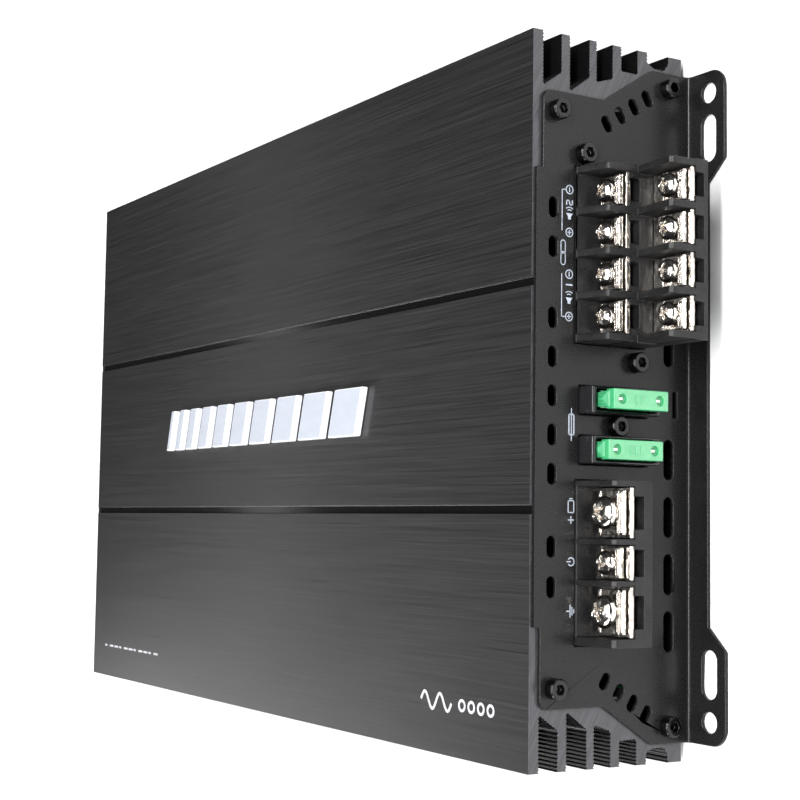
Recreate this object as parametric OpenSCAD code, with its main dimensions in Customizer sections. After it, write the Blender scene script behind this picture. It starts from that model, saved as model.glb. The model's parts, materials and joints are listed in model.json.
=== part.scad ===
// Four-channel car amplifier, lying flat as it is installed.
// X runs along the length, +X towards the terminal end. Y runs across the width, +Z through the top face.
// Z = 0 is the mounting plane under the flanges, and X = Y = 0 is the centre of the four mounting holes.
// Heights named "up" are measured from the heatsink's lower edge, and raised() puts them in place.

/* [Heatsink] */
// Length of the extrusion
sink_l = 297; // [240:1:420]
// Width over the fins
sink_w = 190; // [190:0.5:192]
// Height of the extrusion
sink_h = 50.4; // [50.4:0.1:53]
// Thickness of the top wall
roof_t = 3.5; // [3:0.1:4]
// Distance of each long groove in the top face from the centre line
groove_y = 29.1; // [20:0.1:50]
// Width of the long grooves
groove_w = 2.3; // [1:0.1:4]
// Depth of the long grooves
groove_d = 1; // [0.5:0.1:1.5]
// Spacing of the teeth on the walls of the gaps between fins
tooth_pitch = 1; // [0.8:0.1:2]
// Depth of those teeth
tooth_d = 0.4; // [0.2:0.05:0.5]

/* [End plates] */
// Thickness of the folded sheet
sheet_t = 1.2; // [1:0.1:1.5]
// Inner radius of the fold between end plate and flange
fold_r = 1; // [0.6:0.1:1.5]
// Distance from the heatsink's lower edge down to the mounting plane
stand_off = 2.8; // [2.6:0.1:4]
// Reach of the flange beyond the plate between its tabs
strip_reach = 7.3; // [6:0.1:10]
// Reach of the two mounting tabs beyond the plate
tab_reach = 13.9; // [13:0.1:20]
// Distance of the holes and slots beyond the plate
hole_reach = 7.8; // [7:0.1:10]
// Distance of the round mounting holes from the centre line
hole_y = 84; // [83:0.1:85]
// Diameter of the round mounting holes and width of the slots
hole_d = 5.5; // [4:0.1:6]
// Distance of the slots from the centre line
slot_y = 71.6; // [71:0.1:73]
// Length of the slots from end to end
slot_l = 12.9; // [8:0.1:14]

/* [Speaker terminals] */
// Number of terminals in each tier
row_count = 4; // [2:1:4]
// Spacing of the terminals
row_pitch = 11; // [11:0.1:11.3]
// Height of the middle of the terminal block above the centre line
speaker_y = 37.1; // [37:0.1:38]
// Thickness of the walls between terminals
wall_t = 1.8; // [1.5:0.1:2]
// Diameter of the screws' heads
small_head_d = 6.2; // [5:0.1:6.4]
// Thread diameter of the small screws
small_thread_d = 3; // [3:0.5:3]
// Gap under each clamp, as the screws are left
speaker_gap = 0.45; // [0.4:0.05:1.5]

/* [Power terminals] */
// Thread diameter of the large screws
big_thread_d = 4; // [4:0.5:4]
// Diameter of the large screws' heads
big_head_d = 8.5; // [7:0.1:8.8]
// Gap under each clamp, as the screws are left
power_gap = 0.45; // [0.4:0.05:1.2]

/* [Fuses] */
// Length of a blade fuse
fuse_l = 19.1; // [18:0.1:19.2]
// Thickness of a blade fuse
fuse_t = 5.1; // [4.5:0.1:5.3]
// How far the upper fuse stands out of the holder
fuse_proud_1 = 5.3; // [4:0.1:6]
// How far the lower fuse stands out of the holder
fuse_proud_2 = 3.3; // [2.5:0.1:6]

/* [Emblem] */
// Number of bars in the emblem
bar_count = 10; // [6:1:14]
// Length of the emblem
emblem_l = 142.8; // [100:1:150]
// Width of the emblem
emblem_w = 14.6; // [8:0.1:16]
// Height of the emblem above the top face
emblem_h = 2.4; // [1:0.1:3]

/* [Inside] */
// Width of the circuit board
board_w = 163; // [150:1:163]
// Height of the circuit board's lower face above the heatsink's lower edge
board_up = 8.5; // [8.2:0.1:9]
// Thickness of the circuit board
board_t = 1.6; // [1.2:0.1:1.6]
// Number of power transistors on each side
transistor_count = 8; // [4:1:10]

/* [Controls] */
// Diameter of the control knobs
knob_d = 9; // [7:0.1:10]
// Spacing of the control knobs
knob_pitch = 13; // [12:0.1:14]
// Spacing of the input jacks
jack_pitch = 14; // [13.5:0.1:15]

/* [Hidden] */
side_x = sink_l / 2;
face_x = side_x + sheet_t;
edge_y = sink_w / 2;
roof_up = sink_h - roof_t;
fine = 48;
eps = 0.01;
thread_gap = 0.05;
mould_gap = 0.15;

// Fin gaps on the +Y side, from the top down: each lists the points of its floor.
gap_floors = [
    [[80.9, roof_up], [84.8, 41.4]],
    [[80.5, 38.2], [85, 32.15]],
    [[84.15, 29.3], [85.9, 24.3]],
    [[88.5, 20.9], [88.5, 15.7]],
    [[92.1, 11.9], [91, 9.6], [91, 6.4], [92.9, 4.9]]
];
// Inner face of the side wall, from the roof down
bay_wall = [[77, roof_up], [77, 22], [86.8, 12], [86.8, -eps]];
ledge = [[76.5, board_up + board_t], [87, board_up + board_t], [87, 12.8], [78.5, 12.8], [76.5, 11.6]];
boss_r = 3.2;
// Length cut off the ledge at each end, clear of the end plate's vents
ledge_relief = 12;

// End plate outline on the +Y side
plate_step_y = 58.7;
plate_tall_up = 49.8;
plate_low_up = 47.8;
plate_corner = [[79.3, 27.5], [90, 11.1]];
plate_corner_r = 2.5;
fold_up = fold_r + sheet_t - stand_off;

// Screws that hold an end plate: Y and height
corner_screws = [[74, 43.6], [85.3, 5.9], [-74, 43.6], [-85.3, 5.9]];
upper_ear = [63.6, 34.8];
lower_ear = [10, 17.2];
holder_screw = [-7.13, 24];
cap_head_d = 5.5;
cap_head_h = 3;
cap_shank_l = 8;
hex_key = 2.5;

// Mounting holes and slots
mount_x = face_x + hole_reach;
tab_inner_y = 59.3;
tab_slope = 6.3;
tab_corner_r = 5;

// Vent slots in the terminal end plate: Y, with the height of each row
upper_vents_y = [48.6, 38.4, 20, 10, 0, -10, -20, -38.4, -48.6];
upper_vents_up = 44.4;
upper_vent = [5.3, 2.7];
lower_vents_y = [15.1, -15.2, -30.5, -45.6, -60.7];
lower_vents_up = 5.45;
lower_vent = [10.5, 3.15];
tab_vent_y = [-3.9, 3.05];
tab_vent_up = [2.5, 4.1];
slant_vent_first = [72.8, 26.9];
slant_vent_step = [2.98, -4.6];
slant_vent = [4.5, 2.6];
slant_vent_turn = 33;

// Speaker terminal block. Each tier lists its outer face and the height of its tabs' upper face.
tier_count = 2;
speaker_back_x = face_x + 0.5;
tier_out_x = [face_x + 10, face_x + 24.6];
tier_tab_up = [28.4, 19.6];
tier_axis_x = [face_x + 4.9, face_x + 19.1];
upper_wall_up = [37.3, 35];
lower_wall_up = 26.4;
speaker_floor_up = 14;
cell_w = row_pitch - wall_t;
speaker_half_w = row_count * row_pitch / 2 + wall_t / 2 + 0.2;
tab_t = 1.3;
tab_gap = 0.1;
cavity_w = 6;
cavity_h = 3.6;
ear_r = 3.7;
ear_t = 3;
small_head_h = 2.4;
small_clamp = [8, 7.8, 1.4];
washer_share = 0.13;
tip_l = 1.5;

// Power terminal block. Each cell lists its Y, its width, and 1 for a large screw.
power_out_x = face_x + 12.8;
power_axis_x = face_x + 6.5;
power_y = [-21.5, -63.4];
power_floor_up = 22.1;
power_tab_up = 29.2;
power_wall_up = [36.8, 34.6];
power_cells = [[-29.63, 13.25, 1], [-42.28, 9.15, 0], [-54.6, 13.2, 1]];
big_head_h = 3.2;
big_clamp = [10, 11.2, 1.4];
big_tip_l = 2;

// Fuse holder
fuse_y = [-0.72, -13.55];
holder_w = 7.2;
holder_up = [13, 35.7];
holder_x = face_x + 5.4;
fuse_up = 24.35;
fuse_head_h = 5;
fuse_body_h = 7.5;
fuse_body = [17.6, 3.8];
blade = [5.1, 0.65, 7.3];
blade_pitch = 10.9;
pocket_floor_x = side_x - 5;
holder_back_x = side_x - 14;
contact = [7, 2.6, 6.5];
fuse_proud = [fuse_proud_1, fuse_proud_2];

// Control end, as distances from the inner face of the plate
jack_y = 52;
jack_up = [17.5, 31.5];
jack_r = 4.15;
jack_root_r = 3.9;
jack_collar = 1.2;
jack_l = 8;
knob_y = -31;
knob_up = 30;
knob_out = 7;
shaft_d = 4;
switch_y = [-24.5, 1.5];
switch_up = 15.5;
switch_slot = [9.4, 3.4];
lever = [3, 2.8];
lamp_y = [-58, -66];
lamp_up = 30;
lamp_d = 3;
socket_y = -62;
socket_up = 14.9;
socket = [19, 9.4];

// Parts on the circuit board
board_top_up = board_up + board_t;
board_screw_x = [-120, 0, 120];
board_screw_y = 79.2;
cover_screw_x = [-135, -45, 45, 135];
cover_screw_y = 91;
core = [10, 20, 16];
core_at = [[92, -42], [40, -42]];
wind_t = 1.6;
cap_d = 16;
cap_h = 31;
cap_at = [[112, -8], [92, -8], [72, -8], [52, -8], [-10, -40], [-30, -40], [-10, -20], [-30, -20]];
coil_at = [[118, 26], [118, 50], [94, 26], [94, 50]];
transistor_pitch = 26;
transistor_up = 23.6;
strip_t = 0.3;
transistor_tab_t = 1.3;
transistor_body = [10.2, 3.2, 9.2];
bar_t = 1.6;
bar_up = [26.4, 30.4];

// Emblem
emblem_x = -3.4;
bar_lean = 4;
bar_slot = 4.6;

// ---- Helpers ----

module raised(up = 0) {
    translate([0, 0, stand_off + up]) children();
}

// Turns a drawing in the plane of an end plate (first axis Y, second axis up) to stand at x, growing to x + t.
module upright(x, t) {
    translate([x, 0, stand_off]) rotate([90, 0, 90]) linear_extrude(t) children();
}

// A cylinder along +X, given by its start, Y and height.
module along_x(x, at, l, r, facets = fine) {
    translate([x, at[0], stand_off + at[1]]) rotate([0, 90, 0]) cylinder(h = l, r = r, $fn = facets);
}

// A box given by its corner ranges, with heights measured up from the heatsink's lower edge.
module span(x, y, up) {
    translate([x[0], y[0], stand_off + up[0]])
        cube([x[1] - x[0], y[1] - y[0], up[1] - up[0]]);
}

function around(middle, half) = [middle - half, middle + half];

module both_sides() {
    children();
    mirror([0, 1, 0]) children();
}

module slot_2d(size) {
    run = (size[0] - size[1]) / 2;
    for (s = [-1, 1]) translate([s * run, 0]) circle(d = size[1], $fn = 32);
    square([2 * run, size[1]], center = true);
}

// Points along the line from a to b, with teeth that stand out to its right.
function toothed(a, b) =
    let (run = b - a, n = max(1, round(norm(run) / tooth_pitch)), u = run / norm(run), out = [-u[1], u[0]])
    [for (i = [0:n - 1]) each [a + run * (i / n), a + run * ((i + 0.5) / n) - out * tooth_d]];

// ---- Casing ----

// One fin gap on the +Y side, open at the fin tips.
module fin_gap_2d(floor_points) {
    top = [edge_y, floor_points[0][1]];
    bottom = [edge_y, floor_points[len(floor_points) - 1][1]];
    path = concat([top], floor_points, [bottom]);
    teeth = [for (i = [0:len(path) - 2]) each toothed(path[i], path[i + 1])];
    polygon(concat([[edge_y + 1, top[1]]], teeth, [bottom, [edge_y + 1, bottom[1]]]));
}

module sink_half_2d() {
    difference() {
        union() {
            difference() {
                square([edge_y, sink_h]);
                polygon(concat([[-1, -eps], [-1, roof_up]], bay_wall));
            }
            polygon(ledge);
            for (at = [corner_screws[0], corner_screws[1]]) translate(at) circle(r = boss_r, $fn = fine);
        }
        for (gap = gap_floors) fin_gap_2d(gap);
        translate([groove_y - groove_w / 2, sink_h - groove_d]) square([groove_w, 2 * groove_d]);
    }
}

module heatsink() {
    color("#242322") difference() {
        upright(-side_x, sink_l) union() {
            sink_half_2d();
            mirror([1, 0]) sink_half_2d();
        }
        both_sides() for (x = [-side_x - eps, side_x - ledge_relief])
            span([x, x + ledge_relief + eps], [ledge[0][0] - 1, ledge[2][0] - 1.5], [board_top_up + eps, ledge[2][1] + eps]);
        for (at = corner_screws, x = [-side_x - eps, side_x - 10])
            along_x(x, at, 10 + eps, small_thread_d / 2 + thread_gap);
        both_sides() {
            for (x = cover_screw_x) translate([x, cover_screw_y, 0])
                raised(-eps) cylinder(h = 4.2, d = small_thread_d + 2 * thread_gap, $fn = fine);
            for (x = board_screw_x) translate([x, board_screw_y, 0])
                raised(board_up) cylinder(h = 6, d = small_thread_d + 2 * thread_gap, $fn = fine);
            for (i = [0:transistor_count - 2]) translate([bar_screw_x(i), 70, stand_off + mean(bar_up)])
                rotate([-90, 0, 0]) cylinder(h = 10, d = small_thread_d + 2 * thread_gap, $fn = fine);
        }
    }
}

module bottom_cover() {
    cover_l = 2 * side_x - 3.4;
    color("#2a2a2b") difference() {
        raised(-sheet_t) translate([-cover_l / 2, -93, 0]) cube([cover_l, 186, sheet_t]);
        both_sides() for (x = cover_screw_x) translate([x, cover_screw_y, 0])
            cylinder(h = 10, d = small_thread_d + 0.4, $fn = fine);
    }
}

module plate_half_2d() {
    c = plate_corner;
    difference() {
        union() {
            translate([0, fold_up]) square([plate_step_y, plate_tall_up - fold_up]);
            polygon([[0, fold_up], [c[1][0], fold_up], c[1], c[0], [c[0][0], plate_low_up - plate_corner_r],
                [c[0][0] - plate_corner_r, plate_low_up], [0, plate_low_up]]);
            translate([c[0][0] - plate_corner_r, plate_low_up - plate_corner_r])
                circle(r = plate_corner_r, $fn = fine);
        }
        for (i = [0:3]) translate(slant_vent_first + i * slant_vent_step)
            rotate(slant_vent_turn) slot_2d(slant_vent);
    }
}

// Half of the flange on the +Y side, seen from above; the first axis is X, measured from the plate's outer face.
module flange_half_2d() {
    tab_y = tab_inner_y + tab_slope;
    end_y = plate_corner[1][0];
    difference() {
        union() {
            translate([fold_r, 0]) square([strip_reach - fold_r, end_y]);
            polygon([[fold_r, tab_inner_y], [strip_reach, tab_inner_y], [tab_reach - 0.3, tab_y - 0.6], [tab_reach, tab_y],
                [tab_reach, end_y - tab_corner_r], [tab_reach - tab_corner_r, end_y], [fold_r, end_y]]);
            translate([tab_reach - tab_corner_r, end_y - tab_corner_r]) circle(r = tab_corner_r, $fn = fine);
        }
        translate([hole_reach, slot_y]) rotate(90) slot_2d([slot_l, hole_d]);
    }
}

// An end plate with its fold and flange, for the +X end. Children are cut out of the upright part.
module end_plate() {
    end_y = plate_corner[1][0];
    difference() {
        union() {
            upright(side_x, sheet_t) union() {
                plate_half_2d();
                mirror([1, 0]) plate_half_2d();
            }
            translate([face_x + fold_r, end_y, sheet_t + fold_r]) rotate([90, 0, 0])
                linear_extrude(2 * end_y) intersection() {
                    difference() {
                        circle(r = fold_r + sheet_t, $fn = fine);
                        circle(r = fold_r, $fn = fine);
                    }
                    translate([-10, -10]) square(10);
                }
            translate([face_x, 0, 0]) linear_extrude(sheet_t) union() {
                flange_half_2d();
                mirror([0, 1]) flange_half_2d();
            }
        }
        both_sides() translate([mount_x, hole_y, -1]) cylinder(h = 4, d = hole_d, $fn = fine);
        for (at = corner_screws) along_x(side_x - 1, at, 4, small_thread_d / 2 + 0.2);
        children();
    }
}

module terminal_end_plate() {
    color("#2b2b2c") end_plate() {
        for (y = upper_vents_y) upright(side_x - 1, 4) translate([y, upper_vents_up]) slot_2d(upper_vent);
        for (y = lower_vents_y) upright(side_x - 1, 4) translate([y, lower_vents_up]) slot_2d(lower_vent);
        span([side_x - 1, face_x + 1], tab_vent_y, tab_vent_up);
        for (at = [upper_ear, lower_ear, holder_screw])
            along_x(side_x - 1, at, 4, small_thread_d / 2 + 0.2);
        span([side_x - 1, face_x + 1],
            around(speaker_y, speaker_half_w + mould_gap),
            [speaker_floor_up - mould_gap, upper_wall_up[0] + mould_gap]);
        span([side_x - 1, face_x + 1], [power_y[1] - mould_gap, power_y[0] + mould_gap],
            [power_floor_up - mould_gap, power_wall_up[0] + mould_gap]);
        for (y = fuse_y) span([side_x - 1, face_x + 1],
            around(y, holder_w / 2 + mould_gap),
            [holder_up[0] - mould_gap, holder_up[1] + mould_gap]);
    }
}

module control_end_plate() {
    color("#2b2b2c") mirror([1, 0, 0]) end_plate() {
        for (y = upper_vents_y) upright(side_x - 1, 4) translate([y, upper_vents_up]) slot_2d(upper_vent);
        for (at = jack_places()) along_x(side_x - 1, at, 4, 6);
        for (i = [0:3]) along_x(side_x - 1, knob_place(i), 4, shaft_d / 2 + 0.5);
        for (y = switch_y) upright(side_x - 1, 4) translate([y, switch_up]) square(switch_slot, center = true);
        for (y = lamp_y) along_x(side_x - 1, [y, lamp_up], 4, lamp_d / 2 + 0.1);
        upright(side_x - 1, 4) translate([socket_y, socket_up])
            square(socket + [2, 2] * mould_gap, center = true);
        along_x(side_x - 1, [jack_y, 24.5], 4, small_thread_d / 2 + 0.2);
    }
}

// ---- Fasteners ----

// A black socket cap screw along -X whose head sits on the face at x.
module cap_screw(x, at) {
    difference() {
        union() {
            along_x(x, at, cap_head_h - 0.3, cap_head_d / 2);
            along_x(x + cap_head_h - 0.3, at, 0.3, cap_head_d / 2 - 0.25);
            along_x(x - cap_shank_l, at, cap_shank_l + eps, small_thread_d / 2);
        }
        along_x(x + cap_head_h - 1.6, at, 2, hex_key / 2 / cos(30), 6);
    }
}

module terminal_plate_screws() {
    color("#1d1d1f") for (at = concat(corner_screws, [upper_ear, lower_ear, holder_screw])) cap_screw(face_x, at);
}

module control_plate_screws() {
    color("#1d1d1f") mirror([1, 0, 0])
        for (at = concat(corner_screws, [[jack_y, 24.5]])) cap_screw(face_x, at);
}

module bottom_cover_screws() {
    color("#1d1d1f") both_sides() for (x = cover_screw_x) translate([x, cover_screw_y, 0]) difference() {
        union() {
            translate([0, 0, stand_off - sheet_t - 1.2]) cylinder(h = 1.2, d = 5.6, $fn = fine);
            translate([0, 0, stand_off - sheet_t - eps]) cylinder(h = 5, d = small_thread_d, $fn = fine);
        }
        translate([0, 0, stand_off - sheet_t - 2]) cylinder(h = 1.6, d = 2.3, $fn = 6);
    }
}

// A pan head screw along -Z with a spring washer that lies on z = 0, a domed head and a crossed recess. The shank
// reaches through the clamp, the gap and the tab, with a tip beyond.
module terminal_screw(head_d, head_h, thread_d, shank_l) {
    slot_w = head_d * 0.16;
    washer_t = head_d * washer_share;
    dome_r = head_d * 0.75;
    top = washer_t + head_h;
    difference() {
        union() {
            translate([0, 0, washer_t - eps]) rotate_extrude($fn = fine) intersection() {
                translate([0, head_h - dome_r]) circle(r = dome_r, $fn = 96);
                square([head_d / 2, head_h]);
            }
            cylinder(h = washer_t, d = head_d * 0.84, $fn = fine);
            translate([0, 0, -shank_l]) cylinder(h = shank_l + eps, d = thread_d, $fn = fine);
        }
        translate([0, 0, top]) cube([head_d * 0.66, slot_w, head_h], center = true);
        translate([0, 0, top]) cube([slot_w, head_d * 0.66, head_h], center = true);
    }
}

// A square captive clamp with ribs across its upper face and a turned-down edge, top face at z = 0.
module terminal_clamp(size, thread_d) {
    rib = 0.25;
    difference() {
        translate([-size[0] / 2, -size[1] / 2, -size[2]]) cube(size);
        translate([0, 0, -size[2] - 1]) cylinder(h = size[2] + 2, d = thread_d + 0.2, $fn = fine);
        for (s = [-1, 1]) translate([s * size[0] * 0.36, 0, 0]) cube([rib * 2, size[1] + 1, rib], center = true);
    }
}

// ---- Speaker terminals ----

function row_y(row) = speaker_y + (row_count - 1 - 2 * row) * row_pitch / 2;

module place_speaker(i, up) {
    tier = floor(i / row_count);
    translate([tier_axis_x[tier], row_y(i % row_count), 0]) raised(tier_tab_up[tier] + up) children();
}

module speaker_wall(y) {
    top = [[speaker_back_x - eps, upper_wall_up[0]], [tier_out_x[0], upper_wall_up[1]]];
    translate([0, y + wall_t / 2, stand_off]) rotate([90, 0, 0]) linear_extrude(wall_t)
        polygon([[side_x - eps, speaker_floor_up], [tier_out_x[1], speaker_floor_up], [tier_out_x[1], lower_wall_up - 1],
            [tier_out_x[1] - 1, lower_wall_up], [tier_out_x[0], lower_wall_up - 1.5], top[1] - [0, 1], top[1] - [1, 0],
            top[0], [side_x - eps, upper_wall_up[0]]]);
}

module speaker_terminal_block() {
    y = around(speaker_y, speaker_half_w);
    color("#1f1f20") difference() {
        union() {
            span([side_x - 11, side_x], [y[0], y[1]], [board_top_up, upper_wall_up[0]]);
            span([side_x - eps, speaker_back_x], y, [speaker_floor_up, upper_wall_up[0]]);
            span([side_x - eps, tier_out_x[0]], y, [speaker_floor_up, tier_tab_up[0] - tab_t]);
            span([side_x - eps, tier_out_x[1]], y, [speaker_floor_up, tier_tab_up[1] - tab_t]);
            for (row = [0:row_count]) speaker_wall(row_y(row) + row_pitch / 2);
            for (at = [upper_ear, lower_ear]) {
                along_x(side_x - ear_t, at, ear_t, ear_r);
                span([side_x - ear_t, side_x], [min(at[0], speaker_y), max(at[0], speaker_y)],
                    [at[1] - ear_r * 0.7, at[1] + ear_r * 0.7]);
            }
        }
        for (at = [upper_ear, lower_ear]) along_x(side_x - 9, at, 10, small_thread_d / 2 + thread_gap);
        for (tier = [0, 1], row = [0:row_count - 1]) {
            cy = [row_y(row) - cavity_w / 2, row_y(row) + cavity_w / 2];
            span([tier_axis_x[tier] - 3, tier_out_x[tier] + 1], cy,
                [tier_tab_up[tier] - tab_t - cavity_h + 0.6, tier_tab_up[tier]]);
        }
        speaker_tab_solids(tab_gap / 2);
    }
}

// The strips that the wires are clamped to. Each runs back through the block and down to the board.
module speaker_tab_solids(grow = 0) {
    for (tier = [0, 1], row = [0:row_count - 1]) {
        y = [row_y(row) - cell_w / 2 + tab_gap - grow, row_y(row) + cell_w / 2 - tab_gap + grow];
        leg = [row_y(row) - 1.5 - grow, row_y(row) + 1.5 + grow];
        tail_x = side_x - 4 - 4 * tier;
        up = [tier_tab_up[tier] - tab_t - grow, tier_tab_up[tier] + grow];
        span([speaker_back_x, tier_out_x[tier] - 0.25 + grow], y, up);
        span([tail_x - tab_t - grow, speaker_back_x + eps], leg, up);
        span([tail_x - tab_t - grow, tail_x + grow], leg, [board_top_up - (grow > 0 ? 1 : 0), up[1]]);
    }
}

module speaker_terminal_tabs() {
    color("#cfc8bb") difference() {
        speaker_tab_solids();
        for (i = [0:tier_count * row_count - 1]) place_speaker(i, -tab_t - 1)
            cylinder(h = tab_t + 2, d = small_thread_d + 2 * thread_gap, $fn = fine);
    }
}

module speaker_screw(i) {
    color("#d8d1c4") place_speaker(i, speaker_gap + small_clamp[2])
        rotate(i * 37) terminal_screw(small_head_d, small_head_h, small_thread_d,
            small_clamp[2] + speaker_gap + tab_t + tip_l);
}

module speaker_clamp(i) {
    color("#cdc6b9") place_speaker(i, speaker_gap + small_clamp[2]) terminal_clamp(small_clamp, small_thread_d);
}

// ---- Power terminals ----

function is_big(cell) = cell[2] == 1;

module place_power(i, up) {
    translate([power_axis_x, power_cells[i][0], 0]) raised(power_tab_up + up) children();
}

module power_wall(y, t) {
    translate([0, y + t / 2, stand_off]) rotate([90, 0, 0]) linear_extrude(t)
        polygon([[side_x - eps, power_floor_up], [power_out_x, power_floor_up], [power_out_x, power_wall_up[1] - 1],
            [power_out_x - 1, power_wall_up[1]], [speaker_back_x, power_wall_up[0]], [side_x - eps, power_wall_up[0]]]);
}

module power_terminal_block() {
    y = [power_y[1], power_y[0]];
    edges = [y[1] - 0.75, -36.98, -47.43, y[0] + 1.1];
    color("#1f1f20") difference() {
        union() {
            span([side_x - 13, side_x], y, [board_top_up, power_wall_up[0]]);
            span([side_x - eps, speaker_back_x], y, [power_floor_up, power_wall_up[0]]);
            span([side_x - eps, power_out_x], y, [power_floor_up, power_tab_up - tab_t]);
            for (i = [0:3]) power_wall(edges[i], i == 3 ? 2.2 : (i == 0 ? 1.5 : 1.4));
        }
        for (cell = power_cells) {
            w = is_big(cell) ? 8.2 : 6.7;
            span([power_axis_x - 4, power_out_x + 1], [cell[0] - w / 2, cell[0] + w / 2],
                [power_tab_up - 4.4, power_tab_up]);
        }
        power_tab_solids(tab_gap / 2);
    }
}

module power_tab_solids(grow = 0) {
    tail_x = side_x - 6;
    for (cell = power_cells) {
        half = cell[1] / 2 - tab_gap - 0.1 + grow;
        leg = is_big(cell) ? 3 + grow : 1.5 + grow;
        up = [power_tab_up - tab_t - grow, power_tab_up + grow];
        span([speaker_back_x, power_out_x - 0.25 + grow], [cell[0] - half, cell[0] + half], up);
        span([tail_x - tab_t - grow, speaker_back_x + eps], [cell[0] - leg, cell[0] + leg], up);
        span([tail_x - tab_t - grow, tail_x + grow], [cell[0] - leg, cell[0] + leg],
            [board_top_up - (grow > 0 ? 1 : 0), up[1]]);
    }
}

module power_terminal_tabs() {
    color("#cfc8bb") difference() {
        power_tab_solids();
        for (i = [0:2]) place_power(i, -tab_t - 1) cylinder(h = tab_t + 2,
            d = (is_big(power_cells[i]) ? big_thread_d : small_thread_d) + 2 * thread_gap, $fn = fine);
    }
}

module power_screw(i) {
    big = is_big(power_cells[i]);
    clamp_t = big ? big_clamp[2] : small_clamp[2];
    reach = clamp_t + power_gap + tab_t;
    color("#d8d1c4") place_power(i, power_gap + clamp_t) rotate(20 + i * 41) {
        if (big) terminal_screw(big_head_d, big_head_h, big_thread_d, reach + big_tip_l);
        else terminal_screw(small_head_d, small_head_h, small_thread_d, reach + tip_l);
    }
}

module power_clamp(i) {
    big = is_big(power_cells[i]);
    size = big ? big_clamp : small_clamp;
    color("#cdc6b9") place_power(i, power_gap + size[2])
        terminal_clamp(size, big ? big_thread_d : small_thread_d);
}

// ---- Fuses ----

function blade_up(side) = fuse_up + side * blade_pitch / 2;

module fuse_holder() {
    pocket = [fuse_l + 0.5, fuse_t + 0.5];
    color("#17181a") difference() {
        union() {
            for (y = fuse_y) span([side_x - eps, holder_x], [y - holder_w / 2, y + holder_w / 2], holder_up);
            span([holder_back_x, side_x], [fuse_y[1] - 5, fuse_y[0] + 5], [board_top_up, 37.6]);
        }
        for (y = fuse_y) {
            upright(pocket_floor_x, 20) translate([y, fuse_up]) square([pocket[1], pocket[0]], center = true);
            for (s = [-1, 1]) span([holder_back_x - 1, pocket_floor_x + 1], around(y, (contact[1] + tab_gap) / 2),
                around(blade_up(s), (contact[0] + tab_gap) / 2));
        }
        along_x(side_x - 9, holder_screw, 10, small_thread_d / 2 + thread_gap);
    }
}

module fuse_contacts() {
    color("#c9c3b5") for (y = fuse_y, s = [-1, 1]) difference() {
        span([holder_back_x, holder_back_x + contact[2] + 2], around(y, contact[1] / 2),
            around(blade_up(s), contact[0] / 2));
        span([holder_back_x + 1.5, side_x], around(y, blade[1] / 2 + 0.1),
            around(blade_up(s), blade[0] / 2 + 0.1));
    }
}

// A blade fuse whose outer face stands proud of the holder; the body narrows in two steps towards the blades.
module fuse(i) {
    out_x = holder_x + fuse_proud[i];
    dimple_d = 2.8;
    color("#45c878") difference() {
        union() {
            upright(out_x - fuse_head_h, fuse_head_h) translate([fuse_y[i], fuse_up])
                square([fuse_t, fuse_l], center = true);
            upright(out_x - fuse_head_h - fuse_body_h, fuse_body_h + eps) translate([fuse_y[i], fuse_up])
                square([fuse_body[1], fuse_body[0]], center = true);
            for (s = [-1, 1]) upright(out_x - fuse_head_h - fuse_body_h - blade[2], blade[2] + eps)
                translate([fuse_y[i], fuse_up + s * blade_pitch / 2]) square([blade[1], blade[0]], center = true);
        }
        for (s = [-1, 1]) along_x(out_x - 1.2, [fuse_y[i], fuse_up + s * 6.2], 2, dimple_d / 2);
    }
}

// ---- Board and what it carries ----

module circuit_board() {
    l = 2 * side_x - 4;
    color("#1d5a34") difference() {
        raised(board_up) translate([-l / 2, -board_w / 2, 0]) cube([l, board_w, board_t]);
        both_sides() for (x = board_screw_x) translate([x, board_screw_y, 0])
            raised(board_up - 1) cylinder(h = 4, d = small_thread_d + 0.4, $fn = fine);
    }
}

module board_screws() {
    color("#c4c0b8") both_sides() for (x = board_screw_x) translate([x, board_screw_y, 0]) difference() {
        union() {
            raised(board_up - 2) cylinder(h = 2, d = 5, $fn = fine);
            raised(board_up - eps) cylinder(h = 4, d = small_thread_d, $fn = fine);
        }
        raised(board_up - 2.5) cylinder(h = 1.6, d = 2.3, $fn = 6);
    }
}

module at_each(places, up) {
    for (at = places) translate([at[0], at[1], 0]) raised(up) children();
}

module transformer_cores() {
    color("#4d5a52") at_each(core_at, board_top_up + wind_t) rotate_extrude($fn = fine)
        translate([core[0], 0]) square([core[1] - core[0], core[2]]);
}

module transformer_windings() {
    sectors = 6;
    color("#b26a35") at_each(core_at, board_top_up) for (i = [0:sectors - 1]) rotate(i * 360 / sectors)
        rotate_extrude(angle = 46, $fn = fine) difference() {
            translate([core[0] - wind_t, 0]) square([core[1] - core[0] + 2 * wind_t, core[2] + 2 * wind_t]);
            translate([core[0], wind_t]) square([core[1] - core[0], core[2]]);
        }
}

module filter_capacitors() {
    color("#20242c") at_each(cap_at, board_top_up) rotate_extrude($fn = fine)
        polygon([[0, 0], [cap_d / 2, 0], [cap_d / 2, 2.4], [cap_d / 2 - 0.6, 3], [cap_d / 2, 3.6], [cap_d / 2, cap_h - 0.6],
            [cap_d / 2 - 0.6, cap_h], [0, cap_h]]);
}

module output_inductors() {
    color("#a9713c") at_each(coil_at, board_top_up) difference() {
        cylinder(h = 12, r = 9, $fn = fine);
        translate([0, 0, -1]) cylinder(h = 14, r = 4, $fn = fine);
    }
}

function mean(range) = (range[0] + range[1]) / 2;
function transistor_x(i) = (i - (transistor_count - 1) / 2) * transistor_pitch;
function bar_screw_x(i) = transistor_x(i) + transistor_pitch / 2;

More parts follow.
